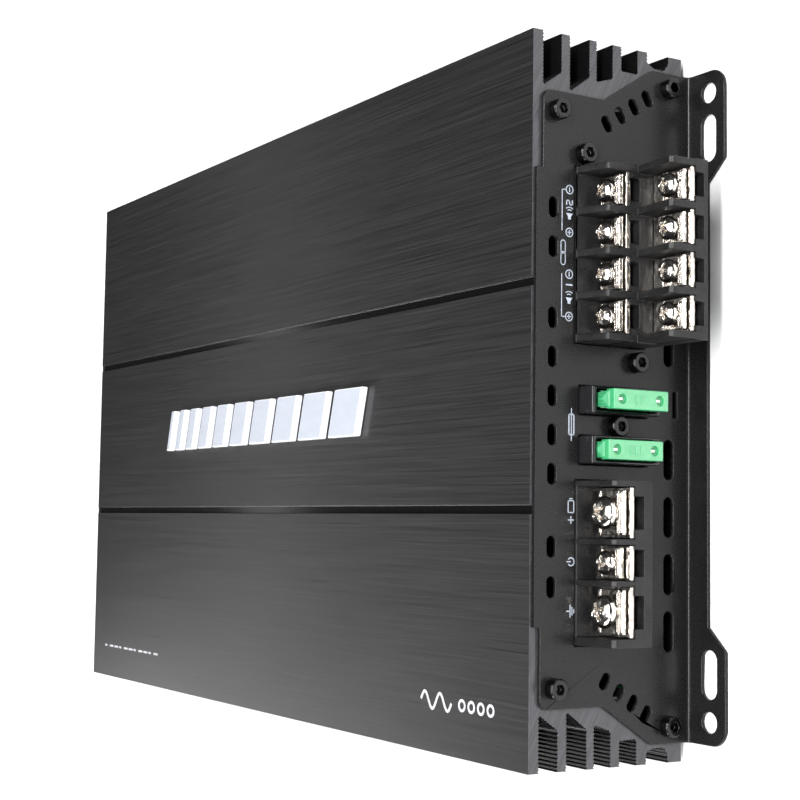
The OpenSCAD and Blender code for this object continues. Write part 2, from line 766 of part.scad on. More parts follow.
module power_transistors() {
    wall_y = bay_wall[0][0] - strip_t;
    lead_y = wall_y - 2.6;
    color("#191a1c") both_sides() for (i = [0:transistor_count - 1]) translate([transistor_x(i), 0, 0]) {
        span([-5.1, 5.1], [wall_y - transistor_tab_t, wall_y], [transistor_up, transistor_up + 15.6]);
        span([-transistor_body[0] / 2, transistor_body[0] / 2],
            [wall_y - transistor_tab_t - transistor_body[1], wall_y - transistor_tab_t + eps],
            [transistor_up, transistor_up + transistor_body[2]]);
        for (s = [-1, 0, 1]) span([s * 2.54 - 0.4, s * 2.54 + 0.4], [lead_y - 0.25, lead_y + 0.25],
            [board_top_up, transistor_up + eps]);
    }
}

module insulating_strips() {
    half = transistor_x(transistor_count - 1) + 9;
    color("#b9b4a6") both_sides() difference() {
        span([-half, half], [bay_wall[0][0] - strip_t, bay_wall[0][0]], [transistor_up - 0.6, transistor_up + 16.2]);
        for (i = [0:transistor_count - 2]) translate([bar_screw_x(i), 70, stand_off + mean(bar_up)])
            rotate([-90, 0, 0]) cylinder(h = 10, d = small_thread_d + 0.4, $fn = fine);
    }
}

function bar_y() = bay_wall[0][0] - strip_t - transistor_tab_t - transistor_body[1];

module clamp_bars() {
    half = transistor_x(transistor_count - 1) + 7;
    color("#b8b8b8") both_sides() difference() {
        span([-half, half], [bar_y() - bar_t, bar_y()], bar_up);
        for (i = [0:transistor_count - 2]) translate([bar_screw_x(i), 60, stand_off + mean(bar_up)])
            rotate([-90, 0, 0]) cylinder(h = 20, d = small_thread_d + 0.4, $fn = fine);
    }
}

module clamp_bar_screws() {
    color("#c4c0b8") both_sides() for (i = [0:transistor_count - 2])
        translate([bar_screw_x(i), bar_y() - bar_t, stand_off + mean(bar_up)]) rotate([-90, 0, 0]) difference() {
            union() {
                translate([0, 0, -2]) cylinder(h = 2, d = 5.4, $fn = fine);
                translate([0, 0, -eps]) cylinder(h = 8.6, d = small_thread_d, $fn = fine);
            }
            translate([0, 0, -2.5]) cylinder(h = 1.6, d = 2.3, $fn = 6);
        }
}

// ---- Control end, drawn for the +X end and mirrored into place ----

function jack_places() = [for (dy = [-1, 1], up = jack_up) [jack_y + dy * jack_pitch / 2, up]];
function knob_place(i) = [knob_y + i * knob_pitch, knob_up];

module input_jack_block() {
    color("#1b1b1d") mirror([1, 0, 0]) difference() {
        union() {
            span([side_x - 15, side_x], [jack_y - 14.5, jack_y + 14.5], [board_top_up, 39]);
            for (at = jack_places()) along_x(side_x - eps, at, sheet_t + jack_collar, 5.8);
        }
        for (at = jack_places()) along_x(side_x - 12, at, 20, jack_root_r);
        along_x(side_x - 9, [jack_y, 24.5], 10, small_thread_d / 2 + thread_gap);
    }
}

module jack_shells() {
    color("#c9c3b5") mirror([1, 0, 0]) for (at = jack_places()) difference() {
        union() {
            along_x(side_x - 12, at, 12 + sheet_t + jack_collar, jack_root_r);
            along_x(face_x + jack_collar, at, jack_l, jack_r);
        }
        along_x(side_x - 10, at, 30, 1.7);
        difference() {
            along_x(face_x + 4, at, 12, jack_r - 0.5);
            along_x(face_x + 3, at, 4, 2.9);
        }
    }
}

module potentiometer_bodies() {
    color("#2c2c2e") mirror([1, 0, 0]) for (i = [0:3]) difference() {
        union() {
            span([side_x - 9, side_x - 0.2], around(knob_place(i)[0], 5), around(knob_up, 5.5));
            span([side_x - 9, side_x - 8], around(knob_place(i)[0], 4), [board_top_up, knob_up]);
        }
        along_x(side_x - 6.5, knob_place(i), 10, shaft_d / 2 + thread_gap);
    }
}

module knob(i) {
    at = knob_place(i);
    color("#141415") mirror([1, 0, 0]) difference() {
        union() {
            along_x(face_x + 0.5, at, knob_out - 0.4, knob_d / 2);
            along_x(face_x + knob_out + 0.1 - eps, at, 0.4, knob_d / 2 - 0.4);
            along_x(side_x - 6, at, 8, shaft_d / 2);
        }
        for (a = [0:30:359]) translate([0, at[0], stand_off + knob_up]) rotate([a, 0, 0])
            translate([face_x + 2, -0.4, knob_d / 2 - 0.35]) cube([knob_out, 0.8, 1]);
        span([face_x + knob_out, face_x + knob_out + 1], around(at[0], 0.35), [knob_up, knob_up + knob_d]);
    }
}

module switch_housings() {
    color("#2c2c2e") mirror([1, 0, 0]) for (y = switch_y) difference() {
        span([side_x - 7, side_x - 0.2], around(y, 7), [board_top_up, switch_up + 4.2]);
        span([side_x - 4.4, side_x + 1], around(y, switch_slot[0] / 2), around(switch_up, switch_slot[1] / 2));
    }
}

module switch_slider(i) {
    color("#e4e2dc") mirror([1, 0, 0]) {
        span([side_x - 4, side_x - 1.6], around(switch_y[i], 2.3), around(switch_up, 1.4));
        span([side_x - 1.7, face_x + 2.6], around(switch_y[i], lever[0] / 2), around(switch_up, lever[1] / 2));
    }
}

module indicator_lamps() {
    color("#7fd0ff") mirror([1, 0, 0]) for (y = lamp_y) {
        at = [y, lamp_up];
        along_x(side_x - 5, at, 5 + sheet_t, lamp_d / 2);
        along_x(side_x - 5, at, 1.2, lamp_d / 2 + 0.5);
        intersection() {
            translate([face_x, y, stand_off + lamp_up]) sphere(d = lamp_d, $fn = fine);
            along_x(face_x - eps, at, 3, lamp_d / 2 + 1);
        }
        for (s = [-0.64, 0.64]) {
            span([side_x - 12, side_x - 4.9], around(y + s, 0.25), around(lamp_up, 0.25));
            span([side_x - 12.5, side_x - 12], around(y + s, 0.25), [board_top_up, lamp_up + 0.25]);
        }
    }
}

module level_input_socket() {
    wall = 1.1;
    color("#dcd9d0") mirror([1, 0, 0]) {
        difference() {
            span([side_x - 11, face_x + 1.2], around(socket_y, socket[0] / 2), around(socket_up, socket[1] / 2));
            span([side_x - 8, side_x + 10], around(socket_y, socket[0] / 2 - wall),
                around(socket_up, socket[1] / 2 - wall));
        }
        for (a = [-1.5:1:1.5], b = [-0.5, 0.5]) span([side_x - 8 - eps, side_x - 3.6],
            around(socket_y + a * 4, 0.5), around(socket_up + b * 3.4, 0.5));
    }
}

// ---- Emblem: a row of slanted bars that grow wider along its length ----

module emblem() {
    usable = emblem_l - bar_lean - (bar_count - 1) * bar_slot;
    share = usable / (bar_count * (bar_count + 3) / 2);
    left = emblem_x - emblem_l / 2;
    color("#cfd6da") translate([0, 0, stand_off + sink_h]) linear_extrude(emblem_h)
        for (i = [0:bar_count - 1]) {
            w = (i + 2) * share;
            x = left + i * bar_slot + share * i * (i + 3) / 2;
            polygon([[x, -emblem_w / 2], [x + w, -emblem_w / 2],
                [x + w + bar_lean, emblem_w / 2], [x + bar_lean, emblem_w / 2]]);
        }
}

// ---- Nodes ----

heatsink();
bottom_cover();
terminal_end_plate();
control_end_plate();
terminal_plate_screws();
control_plate_screws();
bottom_cover_screws();
emblem();
speaker_terminal_block();
speaker_terminal_tabs();
for (i = [0:7]) {
    speaker_screw(i);
    speaker_clamp(i);
}
power_terminal_block();
power_terminal_tabs();
for (i = [0:2]) {
    power_screw(i);
    power_clamp(i);
}
fuse_holder();
fuse_contacts();
fuse(0);  // fuse_1
fuse(1);  // fuse_2
circuit_board();
board_screws();
transformer_cores();
transformer_windings();
filter_capacitors();
output_inductors();
power_transistors();
insulating_strips();
clamp_bars();
clamp_bar_screws();
input_jack_block();
jack_shells();
potentiometer_bodies();
for (i = [0:3]) {
    knob(i);
}
switch_housings();
for (i = [0:1]) {
    switch_slider(i);
}
indicator_lamps();
level_input_socket();
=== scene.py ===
"""Looks of a four-channel car amplifier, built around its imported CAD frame.

The amplifier lies flat: +X towards the terminal end, +Z through the top face. Lengths in this script are in
millimetres, in the frame's own axes, and mm() turns them into metres. Heights named "up" are measured from
the heatsink's lower edge.
"""
import json
import math

import bmesh
import bpy
from mathutils import Matrix, Vector


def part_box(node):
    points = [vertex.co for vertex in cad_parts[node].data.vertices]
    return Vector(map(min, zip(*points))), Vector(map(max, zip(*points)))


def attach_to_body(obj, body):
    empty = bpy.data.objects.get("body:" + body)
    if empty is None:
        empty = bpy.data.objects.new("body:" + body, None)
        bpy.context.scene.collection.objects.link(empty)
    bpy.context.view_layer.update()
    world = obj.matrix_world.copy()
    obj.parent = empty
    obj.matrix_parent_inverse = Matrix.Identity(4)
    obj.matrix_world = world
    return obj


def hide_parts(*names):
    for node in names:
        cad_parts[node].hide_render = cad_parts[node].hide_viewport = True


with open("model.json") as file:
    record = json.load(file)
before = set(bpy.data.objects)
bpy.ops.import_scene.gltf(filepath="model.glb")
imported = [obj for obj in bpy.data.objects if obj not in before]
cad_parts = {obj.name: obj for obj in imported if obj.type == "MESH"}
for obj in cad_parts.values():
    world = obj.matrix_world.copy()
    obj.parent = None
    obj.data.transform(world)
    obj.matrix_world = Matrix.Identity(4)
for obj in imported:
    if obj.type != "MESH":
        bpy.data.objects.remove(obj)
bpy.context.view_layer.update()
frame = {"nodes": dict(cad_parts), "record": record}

MM = 0.001
BODY_OF = {n: b for b, ns in frame["record"]["behaviour"]["bodies"].items() for n in ns}
SLOT_OF = {s["node"]: s["material_slot"] for s in frame["record"]["subparts"]}


def mm(*values):
    """A point or size given in millimetres, as a vector in metres."""
    return Vector(values) * MM


def box_mm(node):
    """A CAD node's lowest and highest corners, in millimetres."""
    low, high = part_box(node)
    return low / MM, high / MM


SINK_LOW, SINK_HIGH = box_mm("heatsink")
TOP_Z = SINK_HIGH.z
BASE_Z = SINK_LOW.z
SHEET_T = box_mm("bottom_cover")[1].z - box_mm("bottom_cover")[0].z
FACE_X = SINK_HIGH.x + SHEET_T


# ---- Camera: the photograph's viewing angle ----

CAMERA_AT = (469.934, -33.532, 291.434)
CAMERA_RIGHT = (0.52786984, 0.01413347, -0.84920767)
CAMERA_UP = (0.05962932, 0.99677754, 0.05365525)
CAMERA_BACK = (0.84722947, -0.07896066, 0.52532603)
CAMERA_LENS = 71.09


def make_camera():
    """Places the camera by its position and its right, up and back directions."""
    data = bpy.data.cameras.new("camera")
    data.sensor_width = 36
    data.lens = CAMERA_LENS
    data.clip_start = 0.01
    data.clip_end = 20
    camera = bpy.data.objects.new("camera", data)
    turn = Matrix((CAMERA_RIGHT, CAMERA_UP, CAMERA_BACK)).transposed().to_4x4()
    camera.matrix_world = Matrix.Translation(mm(*CAMERA_AT)) @ turn
    bpy.context.scene.collection.objects.link(camera)
    bpy.context.scene.camera = camera


# ---- Material nodes ----


class Finish:
    """A node material under construction. Lengths in its nodes are in millimetres."""

    def __init__(self, name, color=(0.5, 0.5, 0.5), **sockets):
        self.material = bpy.data.materials.new(name)
        self.material.use_nodes = True
        self.tree = self.material.node_tree
        self.shader = self.tree.nodes["Principled BSDF"]
        self.shader.inputs["Base Color"].default_value = (*color, 1)
        for socket, value in sockets.items():
            self.shader.inputs[socket.replace("_", " ")].default_value = value

    def put(self, target, value):
        """Links a socket to the target, or sets the target to a plain value."""
        if isinstance(value, bpy.types.NodeSocket):
            self.tree.links.new(value, target)
        elif target.type == "RGBA" and len(value) == 3:
            target.default_value = (*value, 1)
        else:
            target.default_value = value

    def add(self, kind, out=0, props=(), **inputs):
        """Adds a node and gives back one of its outputs. Inputs named in0, in1 go by their number."""
        node = self.tree.nodes.new("ShaderNode" + kind)
        for key, value in dict(props).items():
            setattr(node, key, value)
        for key, value in inputs.items():
            numbered = key.startswith("in") and key[2:].isdigit()
            self.put(node.inputs[int(key[2:]) if numbered else key], value)
        return node.outputs[out]

    def place(self, stretch=(1, 1, 1), turn=(0, 0, 0)):
        """The place on the piece, in millimetres, turned and then stretched along each axis."""
        here = self.add("TexCoord", "Object")
        turned = self.add("Mapping", Vector=here, Rotation=[math.radians(a) for a in turn])
        return self.add("Mapping", Vector=turned, Scale=[s / MM for s in stretch])

    def noise(self, stretch=(1, 1, 1), detail=2.0, roughness=0.5, turn=(0, 0, 0)):
        """Noise with that many features in a millimetre along each axis."""
        return self.add("TexNoise", "Fac", Vector=self.place(stretch, turn), Scale=1.0, Detail=detail,
                        Roughness=roughness)

    def fit(self, value, low=0.0, high=1.0, start=0.0, end=1.0):
        """Maps value from start..end to low..high."""
        return self.add("MapRange", "Result", Value=value, **{"From Min": start, "From Max": end,
                                                               "To Min": low, "To Max": high})

    def calc(self, operation, a, b=0.0):
        """One step of arithmetic on two values or sockets."""
        return self.add("Math", props={"operation": operation}, in0=a, in1=b)

    def mix(self, factor, a, b):
        """Mixes colour a, at factor 0, with colour b, at factor 1."""
        node = self.tree.nodes.new("ShaderNodeMix")
        node.data_type = "RGBA"
        self.put(node.inputs[0], factor)
        self.put(node.inputs[6], a)
        self.put(node.inputs[7], b)
        return node.outputs[2]

    def facing(self, axis, start=0.7, end=0.9):
        """1 where the surface faces along that axis, either way."""
        normal = self.add("SeparateXYZ", axis, Vector=self.add("TexCoord", "Normal"))
        return self.fit(self.calc("ABSOLUTE", normal), 0, 1, start, end)

    def axis_place(self, axis):
        """The place along one axis, in millimetres."""
        here = self.add("SeparateXYZ", axis, Vector=self.add("TexCoord", "Object"))
        return self.calc("MULTIPLY", here, 1 / MM)

    def tangent(self, axis):
        """The direction round that axis, which a brushed highlight stretches along."""
        return self.add("Tangent", props={"direction_type": "RADIAL", "axis": axis})

    def bump(self, height, depth, normal=None):
        """Bumps as deep as depth, in millimetres."""
        inputs = {"Height": height, "Strength": 1.0, "Distance": depth * MM}
        if normal is not None:
            inputs["Normal"] = normal
        return self.add("Bump", **inputs)

    def set(self, **sockets):
        """Sets or links the shader's inputs."""
        for socket, value in sockets.items():
            self.put(self.shader.inputs[socket.replace("_", " ")], value)
        return self


def anodised():
    """Brushed black anodising: hairlines on top, smooth grooves, saw marks on the cut ends, rougher sides
    painted darker as shade between the fins, and painted shade on the groove floors.
    """
    f = Finish("black_anodised", Anisotropic=0.9, IOR=1.45)
    hair = f.noise((0.016, 6.0, 1), detail=2.0, roughness=0.6)
    short = f.noise((0.045, 3.0, 1), detail=1.0, roughness=0.5)
    band = f.noise((0.006, 0.9, 0.3), detail=2.0, roughness=0.6)
    fine = f.calc("ADD", f.calc("MULTIPLY", hair, 0.55), f.calc("MULTIPLY", short, 0.25))
    streaks = f.calc("ADD", fine, f.calc("MULTIPLY", band, 0.2))
    saw = f.noise((1, 0.06, 1.3), detail=2.5, roughness=0.6, turn=(28, 0, 0))
    grain = f.noise((2.2, 2.2, 2.2), detail=2.0)
    top, end = f.facing("Z"), f.facing("X")
    groove = f.fit(f.axis_place(2), 1, 0, TOP_Z - 0.4, TOP_Z - 0.25)
    lit = f.mix(f.fit(streaks, 0, 1, 0.4, 0.75), (0.008, 0.0078, 0.0078), (0.034, 0.033, 0.034))
    # Painted shade: a darker copy of the finish for the sides between the fins and for the groove floor.
    painted_shade = f.mix(grain, (0.002, 0.002, 0.0022), (0.006, 0.0058, 0.0062))
    cut_end = f.mix(f.fit(saw, 0, 1, 0.3, 0.7), (0.03, 0.029, 0.032), (0.055, 0.053, 0.06))
    # Every face but the top and the cut ends, and the groove floor on top, takes the painted shade colour.
    color = f.mix(end, f.mix(f.calc("MULTIPLY", top, f.calc("SUBTRACT", 1.0, groove)), painted_shade, lit), cut_end)
    brushed = f.mix(top, (0.55, 0.55, 0.55), f.fit(streaks, 0.27, 0.34, 0.3, 0.7))
    rough = f.mix(end, brushed, (0.45, 0.45, 0.45))
    height = f.mix(end, f.mix(top, grain, streaks), saw)
    return f.set(Base_Color=color, Roughness=f.mix(groove, rough, (0.16, 0.16, 0.16)), Tangent=f.tangent("X"),
                 Normal=f.bump(height, 0.0045)).material


def powder_coat():
    """Satin black powder coat with a fine grain and the slight orange peel of a baked finish."""
    f = Finish("black_powder_coat", IOR=1.5, Specular_IOR_Level=0.25)
    grain = f.noise((3.2, 3.2, 3.2), detail=2.5, roughness=0.6)
    peel = f.noise((0.45, 0.45, 0.45), detail=1.0)
    color = f.mix(f.fit(grain, 0, 1, 0.35, 0.7), (0.005, 0.005, 0.0052), (0.013, 0.013, 0.0133))
    height = f.calc("ADD", f.calc("MULTIPLY", grain, 0.5), peel)
    return f.set(Base_Color=color, Roughness=f.fit(grain, 0.22, 0.33, 0.3, 0.7),
                 Normal=f.bump(height, 0.015)).material


def moulded(name, color, light, grain_size, depth, rough=(0.45, 0.65), **sockets):
    """Moulded plastic with a grain of that size in millimetres."""
    f = Finish(name, **sockets)
    s = 1 / grain_size
    grain = f.noise((s, s, s), detail=3.0, roughness=0.65)
    patches = f.noise((0.12, 0.12, 0.12), detail=2.0)
    tone = f.calc("ADD", f.calc("MULTIPLY", grain, 0.7), f.calc("MULTIPLY", patches, 0.3))
    return f.set(Base_Color=f.mix(f.fit(tone, 0, 1, 0.35, 0.65), color, light),
                 Roughness=f.fit(grain, rough[0], rough[1], 0.3, 0.7), Normal=f.bump(grain, depth)).material


def plated(name, color, shade, rough=(0.1, 0.24), grain=1.4, depth=0.012, dent=0.02):
    """Bright plating with soft waviness, faint tarnish and fine handling marks."""
    f = Finish(name, Metallic=1.0)
    tarnish = f.noise((0.5, 0.5, 0.5), detail=3.0, roughness=0.6)
    marks = f.noise((grain, grain * 4, grain), detail=3.0, roughness=0.7)
    dents = f.noise((0.45, 0.45, 0.45), detail=1.0)
    return f.set(Base_Color=f.mix(f.fit(tarnish, 0, 1, 0.4, 0.75), color, shade),
                 Roughness=f.fit(marks, rough[0], rough[1], 0.3, 0.7),
                 Normal=f.bump(marks, depth, f.bump(dents, dent))).material


def oxide():
    """Black oxide on steel: dark and oily, browner where it has rubbed."""
    f = Finish("black_oxide", IOR=1.6, Specular_IOR_Level=0.3)
    rub = f.noise((1.2, 1.2, 1.2), detail=3.0, roughness=0.6)
    color = f.mix(f.fit(rub, 0, 1, 0.5, 0.8), (0.001, 0.001, 0.0011), (0.005, 0.0047, 0.0044))
    return f.set(Base_Color=color, Roughness=f.fit(rub, 0.07, 0.16, 0.3, 0.7),
                 Normal=f.bump(rub, 0.008)).material


def fuse_plastic():
    """Translucent green fuse plastic, paler on the face that points out of the holder, with painted shade on
    its sides.
    """
    f = Finish("green_fuse_plastic", IOR=1.5, Subsurface_Weight=0.35,
               Subsurface_Radius=(0.0006, 0.0016, 0.001), Subsurface_Scale=1.0)
    cloud = f.noise((0.35, 0.35, 0.35), detail=2.0)
    ripple = f.noise((1.5, 1.5, 1.5), detail=2.0)
    # Painted shade: mask is 1 on faces along X and 0.25 on the sides, which take the dark green.
    deep = f.fit(f.facing("X", 0.6, 0.95), 0.25, 1)
    face = f.mix(cloud, (0.1, 0.34, 0.17), (0.15, 0.42, 0.23))
    return f.set(Base_Color=f.mix(deep, (0.02, 0.3, 0.11), face), Roughness=f.fit(ripple, 0.24, 0.36),
                 Normal=f.bump(ripple, 0.012)).material


def acrylic():
    """Frosted acrylic: a calm cloudy face with a painted highlight on its rounded edges."""
    f = Finish("frosted_acrylic", IOR=1.49)
    cloud = f.noise((0.12, 0.3, 0.3), detail=3.0, roughness=0.6)
    frost = f.noise((2.5, 2.5, 2.5), detail=2.0)
    face = f.mix(cloud, (0.4, 0.43, 0.49), (0.48, 0.51, 0.57))
    # Painted highlight: faces that are not flat on top get a near-white colour.
    return f.set(Base_Color=f.mix(f.facing("Z", 0.93, 0.995), (0.86, 0.88, 0.92), face),
                 Roughness=f.fit(cloud, 0.2, 0.27, 0.35, 0.65), Normal=f.bump(frost, 0.012)).material


def ink(name, color):
    """Screen-printed ink, slightly uneven."""
    f = Finish(name)
    cover = f.noise((2.0, 2.0, 2.0), detail=3.0)
    dark = tuple(c * 0.75 for c in color)
    return f.set(Base_Color=f.mix(f.fit(cover, 0, 1, 0.35, 0.6), dark, color),
                 Roughness=f.fit(cover, 0.45, 0.6), Normal=f.bump(cover, 0.004)).material


def copper_wire():
    """Enamelled copper, with a clear coat and slight wear."""
    f = Finish("enamelled_copper_windings", Metallic=0.75, Coat_Weight=0.5, Coat_Roughness=0.15)
    tint = f.noise((0.4, 0.4, 0.4), detail=2.0)
    wear = f.noise((3, 3, 3), detail=2.0)
    return f.set(Base_Color=f.mix(tint, (0.42, 0.15, 0.05), (0.68, 0.3, 0.1)),
                 Roughness=f.fit(wear, 0.25, 0.4), Normal=f.bump(wear, 0.01)).material


def laminate():
    """Circuit board: green solder mask over traces that show through as paler bands."""
    f = Finish("board_laminate", Coat_Weight=0.4, Coat_Roughness=0.2)
    traces = f.add("TexBrick", "Fac", Vector=f.place((0.22, 0.22, 0.22)), Scale=1.0, **{"Mortar Size": 0.06})
    weave = f.noise((1.5, 1.5, 1.5), detail=3.0)
    base = f.mix(weave, (0.012, 0.09, 0.035), (0.02, 0.13, 0.05))
    return f.set(Base_Color=f.mix(traces, base, (0.05, 0.22, 0.09)), Roughness=f.fit(weave, 0.3, 0.45),
                 Normal=f.bump(traces, 0.03)).material


def sleeve():
    """Capacitor sleeve: dark shrink film, and bare metal on top."""
    f = Finish("capacitor_sleeve")
    ripple = f.noise((0.8, 0.8, 0.15), detail=2.0)
    top = f.facing("Z")
    film = f.mix(ripple, (0.012, 0.014, 0.03), (0.025, 0.03, 0.055))
    return f.set(Base_Color=f.mix(top, film, (0.5, 0.5, 0.51)), Metallic=top,
                 Roughness=f.fit(ripple, 0.22, 0.38), Normal=f.bump(ripple, 0.02)).material


def lamp_lens():
    """Cloudy pale blue plastic that lets some light through."""
    f = Finish("lamp_lens", IOR=1.5, Transmission_Weight=0.6)
    cloud = f.noise((1.2, 1.2, 1.2), detail=2.0)
    return f.set(Base_Color=f.mix(cloud, (0.35, 0.62, 0.85), (0.6, 0.8, 0.95)),
                 Roughness=f.fit(cloud, 0.08, 0.2), Normal=f.bump(cloud, 0.01)).material


def floor_paper():
    """Matt white paper with a fine tooth."""
    f = Finish("floor_paper")
    tooth = f.noise((0.6, 0.6, 0.6), detail=3.0)
    return f.set(Base_Color=f.mix(tooth, (0.9, 0.9, 0.9), (0.94, 0.94, 0.94)),
                 Roughness=f.fit(tooth, 0.75, 0.9), Normal=f.bump(tooth, 0.01)).material


FINISHES = {
    "black_anodised": anodised(),
    "black_powder_coat": powder_coat(),
    "black_oxide_screws": oxide(),
    "frosted_acrylic": acrylic(),
    "black_moulding": moulded("black_moulding", (0.001, 0.001, 0.0011), (0.022, 0.0215, 0.022), 0.45, 0.07,
                              rough=(0.3, 0.5), Specular_IOR_Level=0.25),
    "fuse_holder_plastic": moulded("fuse_holder_plastic", (0.006, 0.006, 0.007), (0.015, 0.015, 0.016), 0.5,
                                   0.008, rough=(0.12, 0.22)),
    "nickel_plate": plated("nickel_plate", (0.68, 0.645, 0.6), (0.42, 0.385, 0.35), rough=(0.12, 0.28),
                           dent=0.4),
    "nickel_screws": plated("nickel_screws", (0.8, 0.765, 0.72), (0.52, 0.485, 0.44), rough=(0.07, 0.2),
                            dent=0.34),
    "green_fuse_plastic": fuse_plastic(),
    "board_laminate": laminate(),
    "zinc_screws": plated("zinc_screws", (0.6, 0.62, 0.64), (0.5, 0.48, 0.42), rough=(0.2, 0.36)),
    "ferrite": moulded("ferrite", (0.05, 0.07, 0.06), (0.11, 0.14, 0.12), 0.8, 0.03),
    "enamelled_copper": copper_wire(),
    "capacitor_sleeve": sleeve(),
    "component_black": moulded("component_black", (0.016, 0.016, 0.017), (0.04, 0.04, 0.042), 0.35, 0.02),
    "grey_insulator": moulded("grey_insulator", (0.32, 0.31, 0.29), (0.46, 0.44, 0.41), 0.6, 0.01),
    "steel_bar": plated("steel_bar", (0.5, 0.5, 0.5), (0.36, 0.35, 0.34), rough=(0.25, 0.42)),
    "knob_plastic": moulded("knob_plastic", (0.012, 0.012, 0.012), (0.028, 0.028, 0.029), 0.3, 0.015),
    "white_plastic": moulded("white_plastic", (0.62, 0.61, 0.57), (0.74, 0.73, 0.69), 0.5, 0.01),
    "lamp_lens": lamp_lens(),
}
INK = ink("printed_ink", (0.42, 0.46, 0.54))
TOP_INK = ink("top_ink", (0.62, 0.63, 0.66))
# Painted shade: dark colour for the strips that stand in for the score lines on the capacitor tops.
SCORE_SHADE = ink("scored_metal", (0.05, 0.05, 0.05))
BARE_METAL = plated("fuse_element", (0.75, 0.75, 0.74), (0.6, 0.6, 0.58))


# ---- Building pieces ----


def new_object(name, shape, material):
    """Turns a bmesh, in metres, into an object."""
    mesh = bpy.data.meshes.new(name)
    shape.to_mesh(mesh)
    shape.free()
    mesh.materials.append(material)
    piece = bpy.data.objects.new(name, mesh)
    bpy.context.scene.collection.objects.link(piece)
    return piece


def apply_modifiers(piece):
    """Bakes the piece's modifiers into its mesh."""
    ready = piece.evaluated_get(bpy.context.evaluated_depsgraph_get())
    mesh = bpy.data.meshes.new_from_object(ready)
    piece.modifiers.clear()
    piece.data = mesh


def smooth(piece, angle=180):
    """Shades smooth. Edges stay sharp where faces meet at more than angle, so at 180 none do."""
    mesh = piece.data
    mesh.shade_smooth()
    mesh.set_sharp_from_angle(angle=math.radians(angle))


def bevel(piece, width, segments=2, angle=32):
    """Rounds every edge sharper than angle, and keeps flat faces looking flat. Width is in millimetres."""
    smooth(piece)
    modifier = piece.modifiers.new("bevel", "BEVEL")
    modifier.width = width * MM
    modifier.segments = segments
    modifier.limit_method = "ANGLE"
    modifier.angle_limit = math.radians(angle)
    modifier.use_clamp_overlap = False
    weigh_normals(piece)


def weigh_normals(piece):
    """Applies the piece's modifiers, with normals that follow its large faces."""
    piece.modifiers.new("weighted_normals", "WEIGHTED_NORMAL").keep_sharp = True
    bpy.context.view_layer.update()
    apply_modifiers(piece)


def attach(piece, body, *nodes, slot=None):
    """Makes a piece move with a body, and stand for CAD nodes where any are named."""
    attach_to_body(piece, body)
    if nodes:
        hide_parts(*nodes)


def clean_copy(node, split=True):
    """A CAD node's shape as a bmesh with its flat faces whole, or split into convex pieces."""
    shape = bmesh.new()
    shape.from_mesh(frame["nodes"][node].data)
    bmesh.ops.remove_doubles(shape, verts=shape.verts, dist=1e-6)
    bmesh.ops.dissolve_limit(shape, angle_limit=math.radians(0.6), verts=shape.verts, edges=shape.edges)
    if split:
        bmesh.ops.connect_verts_concave(shape, faces=shape.faces)
    return shape


def finished(node, width, segments=2, split=True):
    """A CAD node with its edges rounded and its slot's finish."""
    slot = SLOT_OF[node]
    piece = new_object(node + "_finished", clean_copy(node, split), FINISHES[slot])
    bevel(piece, width, segments)
    attach(piece, BODY_OF[node], node, slot=slot)
    return piece


# ---- Shapes for the pieces with more detail than the CAD ----


def add_box(shape, low, high):
    """A box between two corners, in millimetres."""
    low, high = Vector(low), Vector(high)
    stretch = Matrix.Diagonal((*((high - low) * MM), 1))
    return bmesh.ops.create_cube(shape, size=1, matrix=Matrix.Translation((low + high) / 2 * MM) @ stretch)


def add_lathe(shape, outline, centre, steps=40):
    """A solid turned round a line along Z through centre.

    Its outline is a list of (radius, height) points that starts and ends on that line.
    """
    ends = [shape.verts.new(mm(centre[0], centre[1], outline[i][1])) for i in (0, -1)]
    rings = []
    for radius, height in outline[1:-1]:
        angles = [2 * math.pi * k / steps for k in range(steps)]
        spots = [(centre[0] + radius * math.cos(a), centre[1] + radius * math.sin(a)) for a in angles]
        rings.append([shape.verts.new(mm(x, y, height)) for x, y in spots])
    for k in range(steps):
        j = (k + 1) % steps
        shape.faces.new((ends[0], rings[0][j], rings[0][k]))
        shape.faces.new((ends[1], rings[-1][k], rings[-1][j]))
        for low, high in zip(rings, rings[1:]):
            shape.faces.new((low[k], low[j], high[j], high[k]))


def add_tube(shape, points, radius, sides=7):
    """A wire through points, in millimetres, with closed ends."""
    points = [Vector(p) for p in points]
    rings = []
    for i, p in enumerate(points):
        along = (points[min(i + 1, len(points) - 1)] - points[max(i - 1, 0)]).normalized()
        side = along.orthogonal().normalized() if not rings else (side - along * side.dot(along)).normalized()
        other = along.cross(side)
        turns = [2 * math.pi * k / sides for k in range(sides)]
        spots = [p + (side * math.cos(t) + other * math.sin(t)) * radius for t in turns]
        rings.append([shape.verts.new(spot * MM) for spot in spots])
    for low, high in zip(rings, rings[1:]):
        for k in range(sides):
            j = (k + 1) % sides
            shape.faces.new((low[k], low[j], high[j], high[k]))
    shape.faces.new(rings[0][::-1])
    shape.faces.new(rings[-1])


def carve(piece, cutter_shape):
    """Cuts a shape out of a piece."""
    cutter = new_object("cutter", cutter_shape, piece.data.materials[0])
    modifier = piece.modifiers.new("carve", "BOOLEAN")
    modifier.operation = "DIFFERENCE"
    modifier.solver = "EXACT"
    modifier.use_self = True
    modifier.object = cutter
    bpy.context.view_layer.update()
    apply_modifiers(piece)
    bpy.data.objects.remove(cutter)


# ---- Terminals ----

CLAMP_RISE = 0.28
RIB_PLACES = (-0.86, 0.62, 0.8, 0.97)
RIB_HALF_WIDTH = 0.2
BIG_HEAD_RADIUS = 3.5
BIG_HEAD_HEIGHT = 3.2
SMALL_HEAD_HEIGHT = 2.4
WASHER_SHARE = 0.26
RECESS_LENGTH = 0.74
RECESS_WIDTH = 0.17
THREAD_ROOT = 0.84


